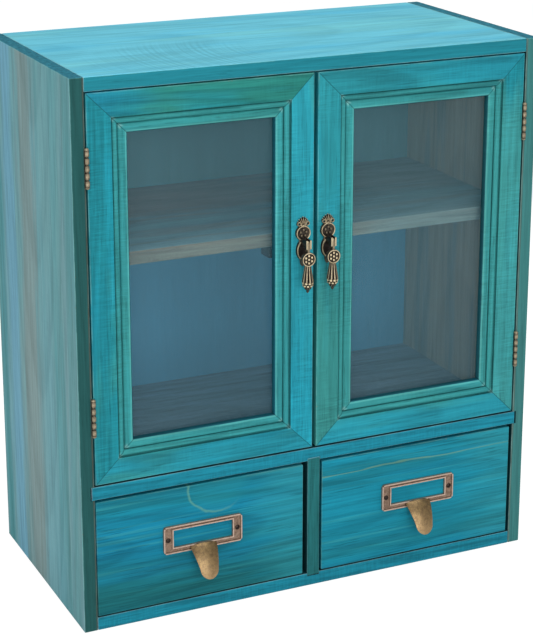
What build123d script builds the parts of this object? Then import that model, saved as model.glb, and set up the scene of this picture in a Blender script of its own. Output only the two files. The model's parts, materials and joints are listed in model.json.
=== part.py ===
from build123d import *
import os
from math import atan2, cos, pi, radians, sin

# Small stained-wood thread cabinet: two glazed doors over two drawers.
# Millimetres. The origin is the centre of the base, on the surface that the cabinet stands on.
# +X is the right-hand side seen from the front, +Y is the back and +Z is up.

# ------------------------------------------------------------------ carcass
cabinet_width = 360.0
cabinet_depth = 180.0
cabinet_height = 400.0
board = 10.0  # sides, top, bottom, shelves and divider
edge_ease = 0.8  # rounding of the board edges
drawer_bay_height = 90.0  # clear height under the middle shelf
thread_shelf_height = 152.7  # middle shelf to the underside of the inner shelf
housing_depth = 3.0  # grooves in the sides that take the shelf ends
housing_gap = 1.0  # space left at the end of each groove
divider_housing = 2.3  # grooves above and below the divider
divider_gap = 0.3
shelf_setback = 2.0  # from the backs of the doors to the inner shelf
back_thickness = 4.0
back_recess = 2.0  # how far the back panel lies inside the rear edges
back_rabbet = 5.0  # width of the step that takes the back panel
back_gap = 0.5

# ------------------------------------------------------------------ doors
door_thickness = 13.0
door_side_gap = 1.0
door_end_gap = 1.0
meeting_gap = 3.0
frame_width = 27.0  # outer edge of the frame to the glass
band_width = 17.5  # flat outer band
quirk_width = 0.7
quirk_depth = 1.8
bead_width = 4.2
bead_fall = 1.0  # how much lower the inner side of each bead lies
bead_fullness = 0.3  # how far the outer bead's crown is moved off its middle
inner_bead_rise = 0.2
inner_quirk_width = 0.5
sight_edge = 2.0  # plain edge in front of the glass
glass_seat = 7.0  # depth of the glass below the frame's face
glass_thickness = 2.0
rabbet_width = 6.0
glass_gap = 0.6
stop_width = 5.2
stop_height = 3.4

# ------------------------------------------------------------------ hinges
hinge_height = 26.0
hinge_inset = 50.5  # door's end to the middle of a hinge
knuckle_count = 5
knuckle_gap = 0.15
barrel_radius = 1.6
barrel_proud = 1.2  # barrel centre in front of the cabinet's face
barrel_clearance = 0.35
pin_radius = 0.75
pin_head_height = 1.3
pin_clearance = 0.05
leaf_width = 8.8
leaf_thickness = 0.8
leaf_gap = 0.2
leaf_corner = 1.0
mortise_gap = 0.2
hinge_screw_spacing = 15.0
hinge_screw_reach = 5.6  # barrel centre to the line of screws
hinge_screw_head = 1.6
hinge_screw_shank = 0.8
hinge_screw_length = 7.0
screw_gap = 0.03
slot_width = 0.5
slot_depth = 0.4

# ------------------------------------------------------------------ catch
catch_width = 60.0
catch_depth = 14.0
catch_height = 8.0
catch_corner = 1.5
catch_gap = 0.3  # catch face to strike plate
magnet_width = 14.0
magnet_depth = 8.0
magnet_height = 5.0
magnet_spacing = 25.0
catch_screw_spacing = 52.0
catch_screw_head = 1.9
catch_screw_shank = 0.9
catch_screw_length = 13.0
strike_width = 16.0
strike_height = 7.0
strike_thickness = 1.0
spike_radius = 0.6
spike_length = 4.0
spike_spacing = 9.0

# ------------------------------------------------------------------ drawers
drawer_side_play = 4.0  # how much narrower a drawer is than its bay
drawer_top_gap = 2.1
drawer_floor_gap = 0.5
drawer_recess = 0.5  # drawer face behind the cabinet's face
left_drawer_gap = 0.6  # space on the left of the left drawer
right_drawer_gap = 1.9  # space on the left of the right drawer
drawer_back_gap = 8.5  # closed drawer to the back panel
drawer_front_thickness = 10.0
drawer_front_rabbet = 5.0
drawer_wall = 6.0
drawer_wall_drop = 7.0  # walls are this much lower than the front
drawer_bottom_thickness = 3.0
drawer_bottom_rise = 4.0  # underside of the bottom above the drawer's lowest edge
drawer_groove = 2.5
drawer_groove_gap = 0.4
drawer_back_setback = 4.0

# ------------------------------------------------------------------ label-holder pulls
holder_width = 61.0
holder_height = 21.0
holder_corner = 2.4
holder_plate = 1.3
holder_rise = 5.0  # holder's centre above the drawer front's centre
holder_rim_width = 0.9
holder_rim_height = 0.8
window_width = 46.2
window_height = 13.4
window_rise = 0.6
window_corner = 0.8
holder_screw_spacing = 54.0
holder_screw_head = 1.9
holder_screw_dome = 0.9
holder_screw_shank = 1.0
holder_screw_length = 8.0
tab_half_width = 9.8  # where the tab leaves the holder
tab_tip_radius = 6.6
tab_crown = 2.6  # how far the middle of the tab bulges
tab_thickness = 1.3
tab_bend_radius = 31.8
tab_start_angle = 50.0  # slope of the tab where it leaves the holder
tab_end_angle = 6.0
tab_root_drop = 8.6  # root of the tab below the holder's centre
tab_stations = 5

# ------------------------------------------------------------------ drop pulls
pull_inset_left = 9.0  # meeting edge of the left door to the middle of its pull
pull_inset_right = 7.5
boss_height = 164.2  # boss centre above the door's lower edge
plate_thickness = 1.4
boss_radius = 5.6
boss_rim = 1.0
boss_rim_height = 2.3
boss_floor = 1.6  # height of the hollow inside the rim
boss_shoulder_radius = 2.5
boss_shoulder_height = 2.5
boss_dome_height = 2.9
bump_count = 5
bump_circle = 2.3
bump_height = 2.4
bump_radius = 1.0
relief_seam = -20.0  # degrees, keeps the seam of the round reliefs off their beads
lobe_half_width = 5.1
lobe_half_height = 7.6
lobe_drop = 12.6
lobe_ridge = 0.8
tail_half_width = 2.0
tail_half_height = 4.6
tail_drop = 20.0
crown_root = 5.2
petal_count = 7
petal_spread = 16.0
petal_reach = 4.2
petal_half_length = 3.4
petal_half_width = 0.8
petal_height = 2.2
scroll_radius = 1.9
scroll_eye = 0.7
scroll_offset = 3.2
scroll_rise = 6.9
scroll_height = 2.5
post_drop = 6.4  # post centre below the boss centre
post_width = 4.0
post_height = 6.4
post_reach = 11.2
post_slot = 1.9
post_slot_start = 4.4
stem_radius = 1.4
stem_clearance = 0.1
stem_end_gap = 0.4
nut_flats = 5.0
nut_thickness = 2.0
nut_recess_radius = 3.4
nut_recess_depth = 2.4
rivet_radius = 0.6
rivet_reach = 8.8  # rivet in front of the door's face
rivet_head = 0.95
rivet_head_height = 0.5
rivet_clearance = 0.06

# ------------------------------------------------------------------ pendants
tongue_thickness = 1.5
tongue_radius = 2.2
pendant_reach = 9.2  # pendant's axis in front of the door's face
rosette_drop = 17.1  # rosette centre below the boss centre
rosette_radius = 5.0
rosette_back = 8.6
rosette_front = 11.4
rosette_rim = 0.8
rosette_rim_height = 0.6
petal_bead_radius = 1.15
petal_bead_circle = 2.65
petal_bead_count = 6
neck_radius = 2.5
neck_lap = 0.4  # how far the neck runs up behind the rosette's edge
skirt_radius = 4.1
skirt_hollow = 0.25  # inward curve of the skirt
skirt_length = 16.6  # rosette centre to the foot of the fluted skirt
flute_count = 8
flute_radius = 0.85
flute_depth = 0.45
flute_share = 0.97  # part of the skirt's length that is fluted
upper_bead_radius = 1.25
upper_bead_circle = 3.5
upper_bead_drop = 17.7
upper_bead_step = 0.3
lower_bead_radius = 1.05
lower_bead_circle = 3.1
lower_bead_drop = 19.6
cup_radius = 3.4
cup_fullness = 0.45
cup_drop = 20.3
nub_radius = 1.1
nub_drop = 23.2
tip_drop = 24.9

# ------------------------------------------------------------------ places worked out from the sizes
face_y = -cabinet_depth / 2
rear_y = cabinet_depth / 2
inner_x = cabinet_width / 2 - board
back_y = rear_y - back_recess - back_thickness
shelf_under = board + drawer_bay_height
shelf_top = shelf_under + board
thread_shelf_under = shelf_top + thread_shelf_height
ceiling_z = cabinet_height - board
door_back = face_y + door_thickness
tongue_reach = housing_depth - housing_gap

door_outer_x = -inner_x + door_side_gap
door_inner_x = -meeting_gap / 2
door_low = shelf_top + door_end_gap
door_high = ceiling_z - door_end_gap
door_width = door_inner_x - door_outer_x
door_height = door_high - door_low

hinge_x = -inner_x + door_side_gap / 2
hinge_y = face_y - barrel_proud
hinge_heights = {"upper": door_high - hinge_inset, "lower": door_low + hinge_inset}
barrel_half = (hinge_height - knuckle_gap) / 2  # barrel's middle to the seat of a pin head
leaf_reach = leaf_gap / 2 + leaf_thickness  # barrel centre to the wood behind a leaf

drawer_face_y = face_y + drawer_recess
drawer_low = board + drawer_floor_gap
drawer_high = shelf_under - drawer_top_gap
drawer_back_y = back_y - drawer_back_gap
drawer_width = inner_x - board / 2 - drawer_side_play

parts = {}


# ------------------------------------------------------------------ shapes used throughout
def block(x0, x1, y0, y1, z0, z1):
    """Rectangular block between two corners."""
    return Pos((x0 + x1) / 2, (y0 + y1) / 2, (z0 + z1) / 2) * Box(x1 - x0, y1 - y0, z1 - z0)


def eased(solid, radius=edge_ease):
    """The block with all its edges rounded over."""
    return fillet(solid.edges(), radius)


def rod(start, direction, radius, length):
    """Round bar from a point along a direction."""
    bar = Cylinder(radius, length, align=(Align.CENTER, Align.CENTER, Align.MIN))
    return Plane(origin=start, z_dir=direction).location * bar


def turned(outline, axis):
    """Solid of revolution from an outline of lines and arcs."""
    plane = Plane.XZ if axis == Axis.Z else Plane.XY
    return revolve(plane * make_face(outline), axis)


def dome(radius, base, height):
    """Arc of a round head: from its top on the axis down to its rim, centred on the axis."""
    ball = (radius**2 + height**2) / (2 * abs(height))
    way = 1 if height > 0 else -1
    centre = base + height - way * ball
    half_angle = atan2(abs(height), radius)
    mid = (ball * sin(half_angle), centre + way * ball * cos(half_angle))
    return ThreePointArc((0, base + height), mid, (radius, base))


def double_headed(head, head_height, shank, half):
    """Outline of a pin with a domed head at each end; half is from its middle to a head's seat."""
    return [
        dome(head, half, head_height),
        Line((head, half), (shank, half)),
        Line((shank, half), (shank, -half)),
        Line((shank, -half), (head, -half)),
        dome(head, -half, -head_height),
        Line((0, -half - head_height), (0, half + head_height)),
    ]


def group(solids):
    """Several separate solids kept under one name."""
    return Compound(children=list(solids))


def screw_blank(head, head_height, shank, length, gap=0.0):
    """Countersunk screw with the top of its head at the origin, pointing down -Z."""
    outline = Polyline((0, 0), (head + gap, 0), (shank + gap, -head_height), (shank + gap, -length),
                       (0, -length), close=True)
    return turned(outline, Axis.Z)


def slotted(screw, head):
    """The screw with a driver slot across its head."""
    return screw - block(-2 * head, 2 * head, -slot_width / 2, slot_width / 2, -slot_depth, slot_depth)


def aimed(solid, point, outward):
    """A fastener moved so that its head is at a point and faces outward."""
    return Plane(origin=point, z_dir=outward).location * solid


# ------------------------------------------------------------------ carcass boards
def side_panel():
    """Left side, full height, grooved for both shelves, stepped for the back and let in for the hinges."""
    panel = eased(block(-cabinet_width / 2, -inner_x, face_y, rear_y, 0, cabinet_height))
    groove_x = -inner_x - housing_depth
    panel -= block(groove_x, 0, face_y - board, back_y, shelf_under, shelf_top)
    thread_front = door_back + shelf_setback
    panel -= block(groove_x, 0, thread_front, back_y, thread_shelf_under, thread_shelf_under + board)
    panel -= block(-inner_x - back_rabbet, 0, back_y, rear_y + board,
                   board - back_rabbet, ceiling_z + back_rabbet)
    for height in hinge_heights.values():
        panel -= leaf_mortise(-1, height)
        panel -= barrel_recess(height)
        for point in hinge_screw_points(-1, height):
            panel -= aimed(hinge_screw_blank(screw_gap), point, (1, 0, 0))
    return panel


def end_board(low):
    """Top or bottom board between the sides, stepped along its rear edge for the back panel."""
    plank = eased(block(-inner_x, inner_x, face_y, rear_y, low, low + board))
    step_low = low if low > 0 else board - back_rabbet
    return plank - block(-inner_x, inner_x, back_y, rear_y + board, step_low, step_low + back_rabbet)


def bottom_board():
    """Bottom board with the groove that holds the divider's foot."""
    return end_board(0) - divider_groove(board - divider_housing, board)


def divider_groove(low, high):
    """Groove across a board for one edge of the divider."""
    return block(-board / 2, board / 2, face_y - board, back_y, low, high)


def middle_shelf():
    """Shelf under the doors, let into both sides, with the divider's groove on its underside."""
    reach = inner_x + tongue_reach
    plank = eased(block(-reach, reach, face_y, back_y, shelf_under, shelf_top))
    return plank - divider_groove(shelf_under, shelf_under + divider_housing)


def inner_shelf():
    """Shelf behind the glass, let into both sides, with holes for the catch screws."""
    reach = inner_x + tongue_reach
    front = door_back + shelf_setback
    plank = eased(block(-reach, reach, front, back_y, thread_shelf_under, thread_shelf_under + board))
    for point in catch_screw_points():
        plank -= aimed(catch_screw_blank(screw_gap), point, (0, 0, -1))
    return plank


def drawer_divider():
    """Upright between the drawers, let into the shelf above and the bottom board below."""
    reach = divider_housing - divider_gap
    return eased(block(-board / 2, board / 2, face_y, back_y, board - reach, shelf_under + reach))


def back_panel():
    """Thin panel that lies in the step round the back."""
    reach_x = inner_x + back_rabbet - back_gap
    reach_z = back_rabbet - back_gap
    return block(-reach_x, reach_x, back_y, back_y + back_thickness, board - reach_z, ceiling_z + reach_z)


# ------------------------------------------------------------------ hinges, built about the barrel's centre
def knuckle_bands(first):
    """Lower and upper end of each knuckle on one leaf."""
    pitch = hinge_height / knuckle_count
    foot = -hinge_height / 2 + knuckle_gap / 2
    lows = [foot + i * pitch for i in range(first, knuckle_count, 2)]
    return [(low, low + pitch - knuckle_gap) for low in lows]


def hinge_leaf(side, first):
    """Leaf with its knuckles; side is -1 on the cabinet and +1 on the door."""
    near, far = side * leaf_gap / 2, side * leaf_reach
    leaf = block(min(near, far), max(near, far), 0, leaf_width, -barrel_half, barrel_half)
    leaf = fillet(leaf.edges().filter_by(Axis.X).sort_by(Axis.Y)[-2:], leaf_corner)
    for low, high in knuckle_bands(1 - first):
        room = high - low + 2 * knuckle_gap
        leaf -= rod((0, 0, low - knuckle_gap), (0, 0, 1), barrel_radius + knuckle_gap, room)
    for low, high in knuckle_bands(first):
        leaf += rod((0, 0, low), (0, 0, 1), barrel_radius, high - low)
    leaf -= rod((0, 0, -hinge_height), (0, 0, 1), pin_radius + pin_clearance, 2 * hinge_height)
    for height in (-hinge_screw_spacing / 2, hinge_screw_spacing / 2):
        point = (near, hinge_screw_reach, height)
        leaf -= aimed(hinge_screw_blank(screw_gap), point, (-side, 0, 0))
    return leaf


def hinge_pin():
    """Pin with a domed head on each end of the barrel."""
    return turned(double_headed(barrel_radius, pin_head_height, pin_radius, barrel_half), Axis.Z)


def hinge_screw_blank(gap=0.0):
    """Outline of a hinge screw, or of its hole when a gap is given."""
    return screw_blank(hinge_screw_head, leaf_thickness, hinge_screw_shank, hinge_screw_length, gap)


def hinge_screw_points(side, height):
    """Where the screw heads sit on the leaf of one side, on the left-hand hinges."""
    x = hinge_x + side * leaf_gap / 2
    y = hinge_y + hinge_screw_reach
    return [(x, y, height + step * hinge_screw_spacing / 2) for step in (-1, 1)]


def leaf_mortise(side, height):
    """Shallow recess for a leaf in the side panel or in the door's stile."""
    near, far = hinge_x, hinge_x + side * leaf_reach
    reach_y = hinge_y + leaf_width + mortise_gap
    half = hinge_height / 2 + mortise_gap
    return block(min(near, far), max(near, far), face_y - board, reach_y, height - half, height + half)


def barrel_recess(height):
    """Hollow in the wood round the barrel and the pin's heads."""
    half = hinge_height / 2 + pin_head_height + barrel_clearance
    start = (hinge_x, hinge_y, height - half)
    return rod(start, (0, 0, 1), barrel_radius + barrel_clearance, 2 * half)


# ------------------------------------------------------------------ catch under the inner shelf
def catch_screw_blank(gap=0.0):
    """Outline of a catch screw, or of its hole when a gap is given."""
    return screw_blank(catch_screw_head, catch_screw_head - catch_screw_shank, catch_screw_shank,
                       catch_screw_length, gap)


def catch_face():
    """Plane of the catch's front, just behind the strike plates."""
    return door_back + strike_thickness + catch_gap


def catch_screw_points():
    """Screw heads on the underside of the catch."""
    y = catch_face() + catch_depth / 2
    z = thread_shelf_under - catch_height
    return [(step * catch_screw_spacing / 2, y, z) for step in (-1, 1)]


def catch_magnet(side):
    """One magnet, set flush in the catch's front."""
    x = side * magnet_spacing / 2
    z = thread_shelf_under - catch_height / 2
    face = catch_face()
    return block(x - magnet_width / 2, x + magnet_width / 2, face, face + magnet_depth,
                 z - magnet_height / 2, z + magnet_height / 2)


def magnetic_catch():
    """Catch body with a pocket for each magnet and two screw holes."""
    face = catch_face()
    body = block(-catch_width / 2, catch_width / 2, face, face + catch_depth,
                 thread_shelf_under - catch_height, thread_shelf_under)
    body = fillet(body.edges().filter_by(Axis.Z), catch_corner)
    for side in (-1, 1):
        body -= catch_magnet(side)
    for point in catch_screw_points():
        body -= aimed(catch_screw_blank(screw_gap), point, (0, 0, -1))
    return body


def strike_plate(gap=0.0):
    """Steel strike on the back of the left meeting stile, held by two spikes; the gap widens its holes."""
    x = -magnet_spacing / 2
    z = thread_shelf_under - catch_height / 2
    plate = block(x - strike_width / 2, x + strike_width / 2, door_back, door_back + strike_thickness,
                  z - strike_height / 2, z + strike_height / 2)
    for step in (-1, 1):
        root = (x + step * spike_spacing / 2, door_back, z)
        plate += rod(root, (0, -1, 0), spike_radius + gap, spike_length)
    return plate


# ------------------------------------------------------------------ left door; the right one mirrors it
def frame_section():
    """Moulded section: x from the outer edge to the glass, y from the face to the back."""
    first = band_width + quirk_width
    second = frame_width - bead_width
    step_top = quirk_depth + bead_fall
    step_floor = step_top + quirk_depth / 2
    last = glass_seat - sight_edge
    crown = (first + second) / 2 - bead_fullness
    foot = second - inner_quirk_width
    bow = edge_ease * (1 - cos(radians(45)))
    edges = [
        Line((0, door_thickness), (0, edge_ease)),
        ThreePointArc((0, edge_ease), (bow, bow), (edge_ease, 0)),
        Line((edge_ease, 0), (band_width, 0)),
        Line((band_width, 0), (band_width, quirk_depth)),
        Line((band_width, quirk_depth), (first, quirk_depth)),
        ThreePointArc((first, quirk_depth), (crown, quirk_depth / 2), (foot, step_top)),
        Line((foot, step_top), (foot, step_floor)),
        Line((foot, step_floor), (second, step_floor)),
        ThreePointArc((second, step_floor), ((second + frame_width) / 2, step_floor - inner_bead_rise),
                      (frame_width, last)),
        Line((frame_width, last), (frame_width, glass_seat)),
        Line((frame_width, glass_seat), (frame_width - rabbet_width, glass_seat)),
        Line((frame_width - rabbet_width, glass_seat), (frame_width - rabbet_width, door_thickness)),
        Line((frame_width - rabbet_width, door_thickness), (0, door_thickness)),
    ]
    return make_face(edges)


def mitred(section, length):
    """Length of moulding along +Z from the origin, cut at 45 degrees at both ends."""
    bar = extrude(section, length)
    bar = split(bar, Plane(origin=(0, 0, 0), z_dir=(-1, 0, 1)), keep=Keep.TOP)
    return split(bar, Plane(origin=(0, 0, length), z_dir=(-1, 0, -1)), keep=Keep.TOP)


def frame_members(section):
    """The four mitred lengths of a frame, set round the left door's opening."""
    stile = mitred(section, door_height)
    rail = mitred(section, door_width)
    return {
        "hinge_stile": Pos(door_outer_x, face_y, door_low) * stile,
        "top_rail": Pos(door_outer_x, face_y, door_high) * Rot(0, 90, 0) * rail,
        "meeting_stile": Pos(door_inner_x, face_y, door_high) * Rot(0, 180, 0) * stile,
        "bottom_rail": Pos(door_inner_x, face_y, door_low) * Rot(0, -90, 0) * rail,
    }


def door_pane():
    """Glass in the step at the back of the frame."""
    inset = frame_width - rabbet_width + glass_gap
    y = face_y + glass_seat
    return block(door_outer_x + inset, door_inner_x - inset, y, y + glass_thickness,
                 door_low + inset, door_high - inset)


def stop_section():
    """Section of the strips that hold the glass in."""
    x0 = frame_width - rabbet_width
    y0 = glass_seat + glass_thickness
    corner = stop_height / 2
    x1 = x0 + stop_width
    y1 = y0 + stop_height
    outline = Polyline((x0, y0), (x1, y0), (x1, y0 + corner), (x1 - corner, y1), (x0, y1), close=True)
    return make_face(outline)


def door_parts(pull_inset):
    """Every piece that swings with the left door, by name, and the pieces of its drop pull."""
    pieces = frame_members(frame_section())
    pull_x = door_inner_x - pull_inset
    place = Pos(pull_x, face_y, door_low + boss_height)
    for height in hinge_heights.values():
        pieces["hinge_stile"] -= leaf_mortise(1, height)
        pieces["hinge_stile"] -= barrel_recess(height)
        for point in hinge_screw_points(1, height):
            pieces["hinge_stile"] -= aimed(hinge_screw_blank(screw_gap), point, (-1, 0, 0))
    pieces["meeting_stile"] -= strike_plate(screw_gap)
    pieces["meeting_stile"] -= place * stem_hole()
    pieces["glass_pane"] = door_pane()
    pieces["glass_stops"] = group(frame_members(stop_section()).values())
    pieces["strike_plate"] = strike_plate()
    for level, height in hinge_heights.items():
        pieces[level + "_hinge_leaf"] = Pos(hinge_x, hinge_y, height) * hinge_leaf(1, 1)
    screw = slotted(hinge_screw_blank(), hinge_screw_head)
    points = [p for height in hinge_heights.values() for p in hinge_screw_points(1, height)]
    pieces["hinge_screws"] = group([aimed(screw, point, (-1, 0, 0)) for point in points])
    pieces["pull_plate"] = place * pull_plate()
    pieces["pull_nut"] = place * pull_nut()
    pieces["pull_rivet"] = place * pull_rivet()
    pieces["pull_pendant"] = place * pendant()
    return pieces


# ------------------------------------------------------------------ drop pulls, built about the boss centre
def turned_front(points):
    """Round relief on the front of the pull: each point is a radius and a height above the door."""
    return Rot(0, relief_seam, 0) * turned(Polyline([(r, -h) for r, h in points], close=True), Axis.Y)


def bead(x, height, z, radius):
    """Round bead whose centre stands a given height above the door."""
    return Pos(x, -height, z) * Sphere(radius)


def plate_outline():
    """Boss, long lower lobe, tail, fanned crown and its two scrolls, seen from the front."""
    outline = Circle(boss_radius)
    outline += Pos(0, -lobe_drop) * Ellipse(lobe_half_width, lobe_half_height)
    outline += Pos(0, -tail_drop) * Ellipse(tail_half_width, tail_half_height)
    outline += crown_petals() + crown_scrolls(0)
    return outline


def crown_petals():
    """Petals that fan out above the boss."""
    fan = Sketch()
    for i in range(petal_count):
        lean = (i - (petal_count - 1) / 2) * petal_spread
        petal = Pos(0, petal_reach) * Ellipse(petal_half_width, petal_half_length)
        fan += Pos(0, crown_root) * Rot(0, 0, lean) * petal
    return fan


def crown_scrolls(eye):
    """Round scrolls at the foot of the crown, with an eye of the given radius."""
    pair = Sketch()
    for side in (-1, 1):
        ring = Circle(scroll_radius)
        if eye > 0:
            ring -= Circle(eye)
        pair += Pos(side * scroll_offset, scroll_rise) * ring
    return pair


def pull_plate():
    """Back plate with its relief, the slotted post for the pendant, and the stem through the door."""
    plate = extrude(Plane.XZ * plate_outline(), plate_thickness)
    plate += extrude(Plane.XZ * crown_petals(), petal_height)
    plate += extrude(Plane.XZ * crown_scrolls(scroll_eye), scroll_height)
    ridge = Ellipse(lobe_half_width - lobe_ridge, lobe_half_height - lobe_ridge)
    ridge -= Ellipse(lobe_half_width - 2 * lobe_ridge, lobe_half_height - 2 * lobe_ridge)
    plate += extrude(Plane.XZ * Pos(0, -lobe_drop) * ridge, plate_thickness + lobe_ridge)
    inner = boss_radius - boss_rim
    plate += turned_front([(0, 0), (boss_radius, 0), (boss_radius, plate_thickness),
                           (boss_radius - boss_rim / 2, boss_rim_height), (inner, boss_floor),
                           (boss_shoulder_radius, boss_shoulder_height), (0, boss_dome_height)])
    for i in range(bump_count):
        turn = pi / 2 + 2 * pi * i / bump_count
        plate += bead(bump_circle * cos(turn), bump_height, bump_circle * sin(turn), bump_radius)
    post = block(-post_width / 2, post_width / 2, -post_reach, 0,
                 -post_drop - post_height / 2, -post_drop + post_height / 2)
    post += rod((0, 0, -post_drop), (0, 1, 0), stem_radius, door_thickness - stem_end_gap)
    slot = block(-post_slot / 2, post_slot / 2, -2 * post_reach, -post_slot_start,
                 -post_drop - post_height, -post_drop + post_height)
    bore_radius = rivet_radius + rivet_clearance
    bore = rod((-post_width, -rivet_reach, -post_drop), (1, 0, 0), bore_radius, 2 * post_width)
    return plate + post - slot - bore


def stem_hole():
    """Hole through the stile for the stem, opened out at the back for the nut."""
    hole = rod((0, 0, -post_drop), (0, 1, 0), stem_radius + stem_clearance, door_thickness)
    return hole + rod((0, door_thickness, -post_drop), (0, -1, 0), nut_recess_radius, nut_recess_depth)


def pull_nut():
    """Hexagonal nut on the stem, seated on the floor of its recess."""
    radius = nut_flats / 2 / cos(pi / 6)
    nut = extrude(RegularPolygon(radius, 6), nut_thickness)
    nut -= Cylinder(stem_radius + screw_gap, 4 * nut_thickness)
    return Plane(origin=(0, door_thickness - nut_recess_depth, -post_drop), z_dir=(0, 1, 0)).location * nut


def pull_rivet():
    """Rivet across the post, with a domed head against each cheek."""
    rivet = turned(double_headed(rivet_head, rivet_head_height, rivet_radius, post_width / 2), Axis.Z)
    return Pos(0, -rivet_reach, -post_drop) * Rot(0, 90, 0) * rivet


def pendant_body():
    """Turned drop under the rosette: a flaring skirt, two bands for the beads, a cup and a small tip."""
    z0 = -rosette_drop
    foot = z0 - skirt_length
    cup = z0 - cup_drop
    nub = z0 - nub_drop
    tip = z0 - tip_drop
    neck = z0 - rosette_radius + neck_lap
    waist = (neck_radius + skirt_radius) / 2 - skirt_hollow
    belly = (cup_radius + nub_radius) / 2 + cup_fullness
    edges = [
        Line((0, z0), (neck_radius, z0)),
        Line((neck_radius, z0), (neck_radius, neck)),
        ThreePointArc((neck_radius, neck), (waist, (neck + foot) / 2), (skirt_radius, foot)),
        Line((skirt_radius, foot), (upper_bead_circle, foot - upper_bead_step)),
        Line((upper_bead_circle, foot - upper_bead_step), (lower_bead_circle, cup)),
        Line((lower_bead_circle, cup), (cup_radius, cup)),
        ThreePointArc((cup_radius, cup), (belly, (cup + nub) / 2), (nub_radius, nub)),
        dome(nub_radius, nub, tip - nub),
        Line((0, tip), (0, z0)),
    ]
    body = Rot(0, 0, 90 / flute_count) * turned(edges, Axis.Z)
    top = z0 - rosette_radius
    lean = skirt_radius - neck_radius
    fall = top - foot
    for i in range(flute_count):
        turn = 2 * pi * (i + 0.5) / flute_count
        x, y = cos(turn), sin(turn)
        start = neck_radius + flute_radius - flute_depth
        slope = (lean * x, lean * y, -fall)
        body -= rod((start * x, start * y, top), slope, flute_radius, fall * flute_share)
    for i in range(flute_count):
        turn = 2 * pi * i / flute_count
        x, y = cos(turn), sin(turn)
        upper = Pos(upper_bead_circle * x, upper_bead_circle * y, z0 - upper_bead_drop)
        lower = Pos(lower_bead_circle * x, lower_bead_circle * y, z0 - lower_bead_drop)
        body += upper * Sphere(upper_bead_radius) + lower * Sphere(lower_bead_radius)
    return Pos(0, -pendant_reach, 0) * body


def pendant():
    """Hanging piece: a tongue that turns on the rivet, a beaded rosette and the fluted drop."""
    floor = rosette_front - rosette_rim_height
    piece = pendant_body() - rod((0, -floor, -rosette_drop), (0, -1, 0), rosette_radius, rosette_radius)
    inner = rosette_radius - rosette_rim
    piece += Pos(0, 0, -rosette_drop) * turned_front(
        [(0, rosette_back), (rosette_radius, rosette_back), (rosette_radius, floor),
         (rosette_radius - rosette_rim / 2, rosette_front), (inner, floor), (0, floor)])
    for i in range(petal_bead_count):
        turn = 2 * pi * i / petal_bead_count
        piece += bead(petal_bead_circle * cos(turn), floor, petal_bead_circle * sin(turn) - rosette_drop,
                      petal_bead_radius)
    piece += bead(0, floor, -rosette_drop, petal_bead_radius)
    half = tongue_thickness / 2
    piece += rod((-half, -rivet_reach, -post_drop), (1, 0, 0), tongue_radius, tongue_thickness)
    piece += block(-half, half, -floor, -rivet_reach + tongue_radius, -rosette_drop, -post_drop)
    bore_radius = rivet_radius + rivet_clearance
    return piece - rod((-half, -rivet_reach, -post_drop), (1, 0, 0), bore_radius, tongue_thickness)


# ------------------------------------------------------------------ drawers
def drawer_parts(x0):
    """Every piece of a drawer whose left edge is at x0, by name."""
    x1 = x0 + drawer_width
    front_y = drawer_face_y + drawer_front_thickness
    rabbet_y = front_y - drawer_front_rabbet
    wall_high = drawer_high - drawer_wall_drop
    bottom_low = drawer_low + drawer_bottom_rise
    bottom_high = bottom_low + drawer_bottom_thickness
    inside0, inside1 = x0 + drawer_wall, x1 - drawer_wall
    back_front = drawer_back_y - drawer_back_setback - drawer_wall
    groove = block(inside0 - drawer_groove, inside1 + drawer_groove, front_y - drawer_groove,
                   drawer_back_y + drawer_wall, bottom_low, bottom_high)
    centre = Pos((x0 + x1) / 2, drawer_face_y, (drawer_low + drawer_high) / 2 + holder_rise)

    front = eased(block(x0, x1, drawer_face_y, front_y, drawer_low, drawer_high))
    front -= block(x0 - board, inside0, rabbet_y, front_y, drawer_low, wall_high)
    front -= block(inside1, x1 + board, rabbet_y, front_y, drawer_low, wall_high)
    front -= groove
    for point in holder_screw_points():
        front -= centre * aimed(holder_screw_shank_blank(screw_gap), point, (0, -1, 0))
    gap = drawer_groove_gap
    bottom = block(inside0 - drawer_groove + gap, inside1 + drawer_groove - gap,
                   front_y - drawer_groove + gap, drawer_back_y - gap, bottom_low, bottom_high)
    screws = [centre * aimed(holder_screw(), point, (0, -1, 0)) for point in holder_screw_points()]
    return {
        "front": front,
        "left_wall": block(x0, inside0, rabbet_y, drawer_back_y, drawer_low, wall_high) - groove,
        "right_wall": block(inside1, x1, rabbet_y, drawer_back_y, drawer_low, wall_high) - groove,
        "back_wall": block(inside0, inside1, back_front, back_front + drawer_wall, bottom_high, wall_high),
        "bottom": bottom,
        "label_pull": centre * label_pull(),
        "pull_screws": group(screws),
    }


def holder_screw_points():
    """Screw seats on the face of the label holder, from its centre."""
    return [(side * holder_screw_spacing / 2, -holder_plate, 0) for side in (-1, 1)]


def holder_screw_shank_blank(gap=0.0):
    """Shank of a holder screw below the head, or its hole when a gap is given."""
    return Pos(0, 0, -holder_screw_length / 2) * Cylinder(holder_screw_shank + gap, holder_screw_length)


def holder_screw():
    """Round-headed screw with a driver slot, seated on the holder's face."""
    rise = holder_screw_dome
    edges = [
        dome(holder_screw_head, 0, rise),
        Line((holder_screw_head, 0), (0, 0)),
        Line((0, 0), (0, rise)),
    ]
    head = turned(edges, Axis.Z) - Pos(0, 0, rise) * Box(3 * holder_screw_head, slot_width, 2 * slot_depth)
    return head + holder_screw_shank_blank()


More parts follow.
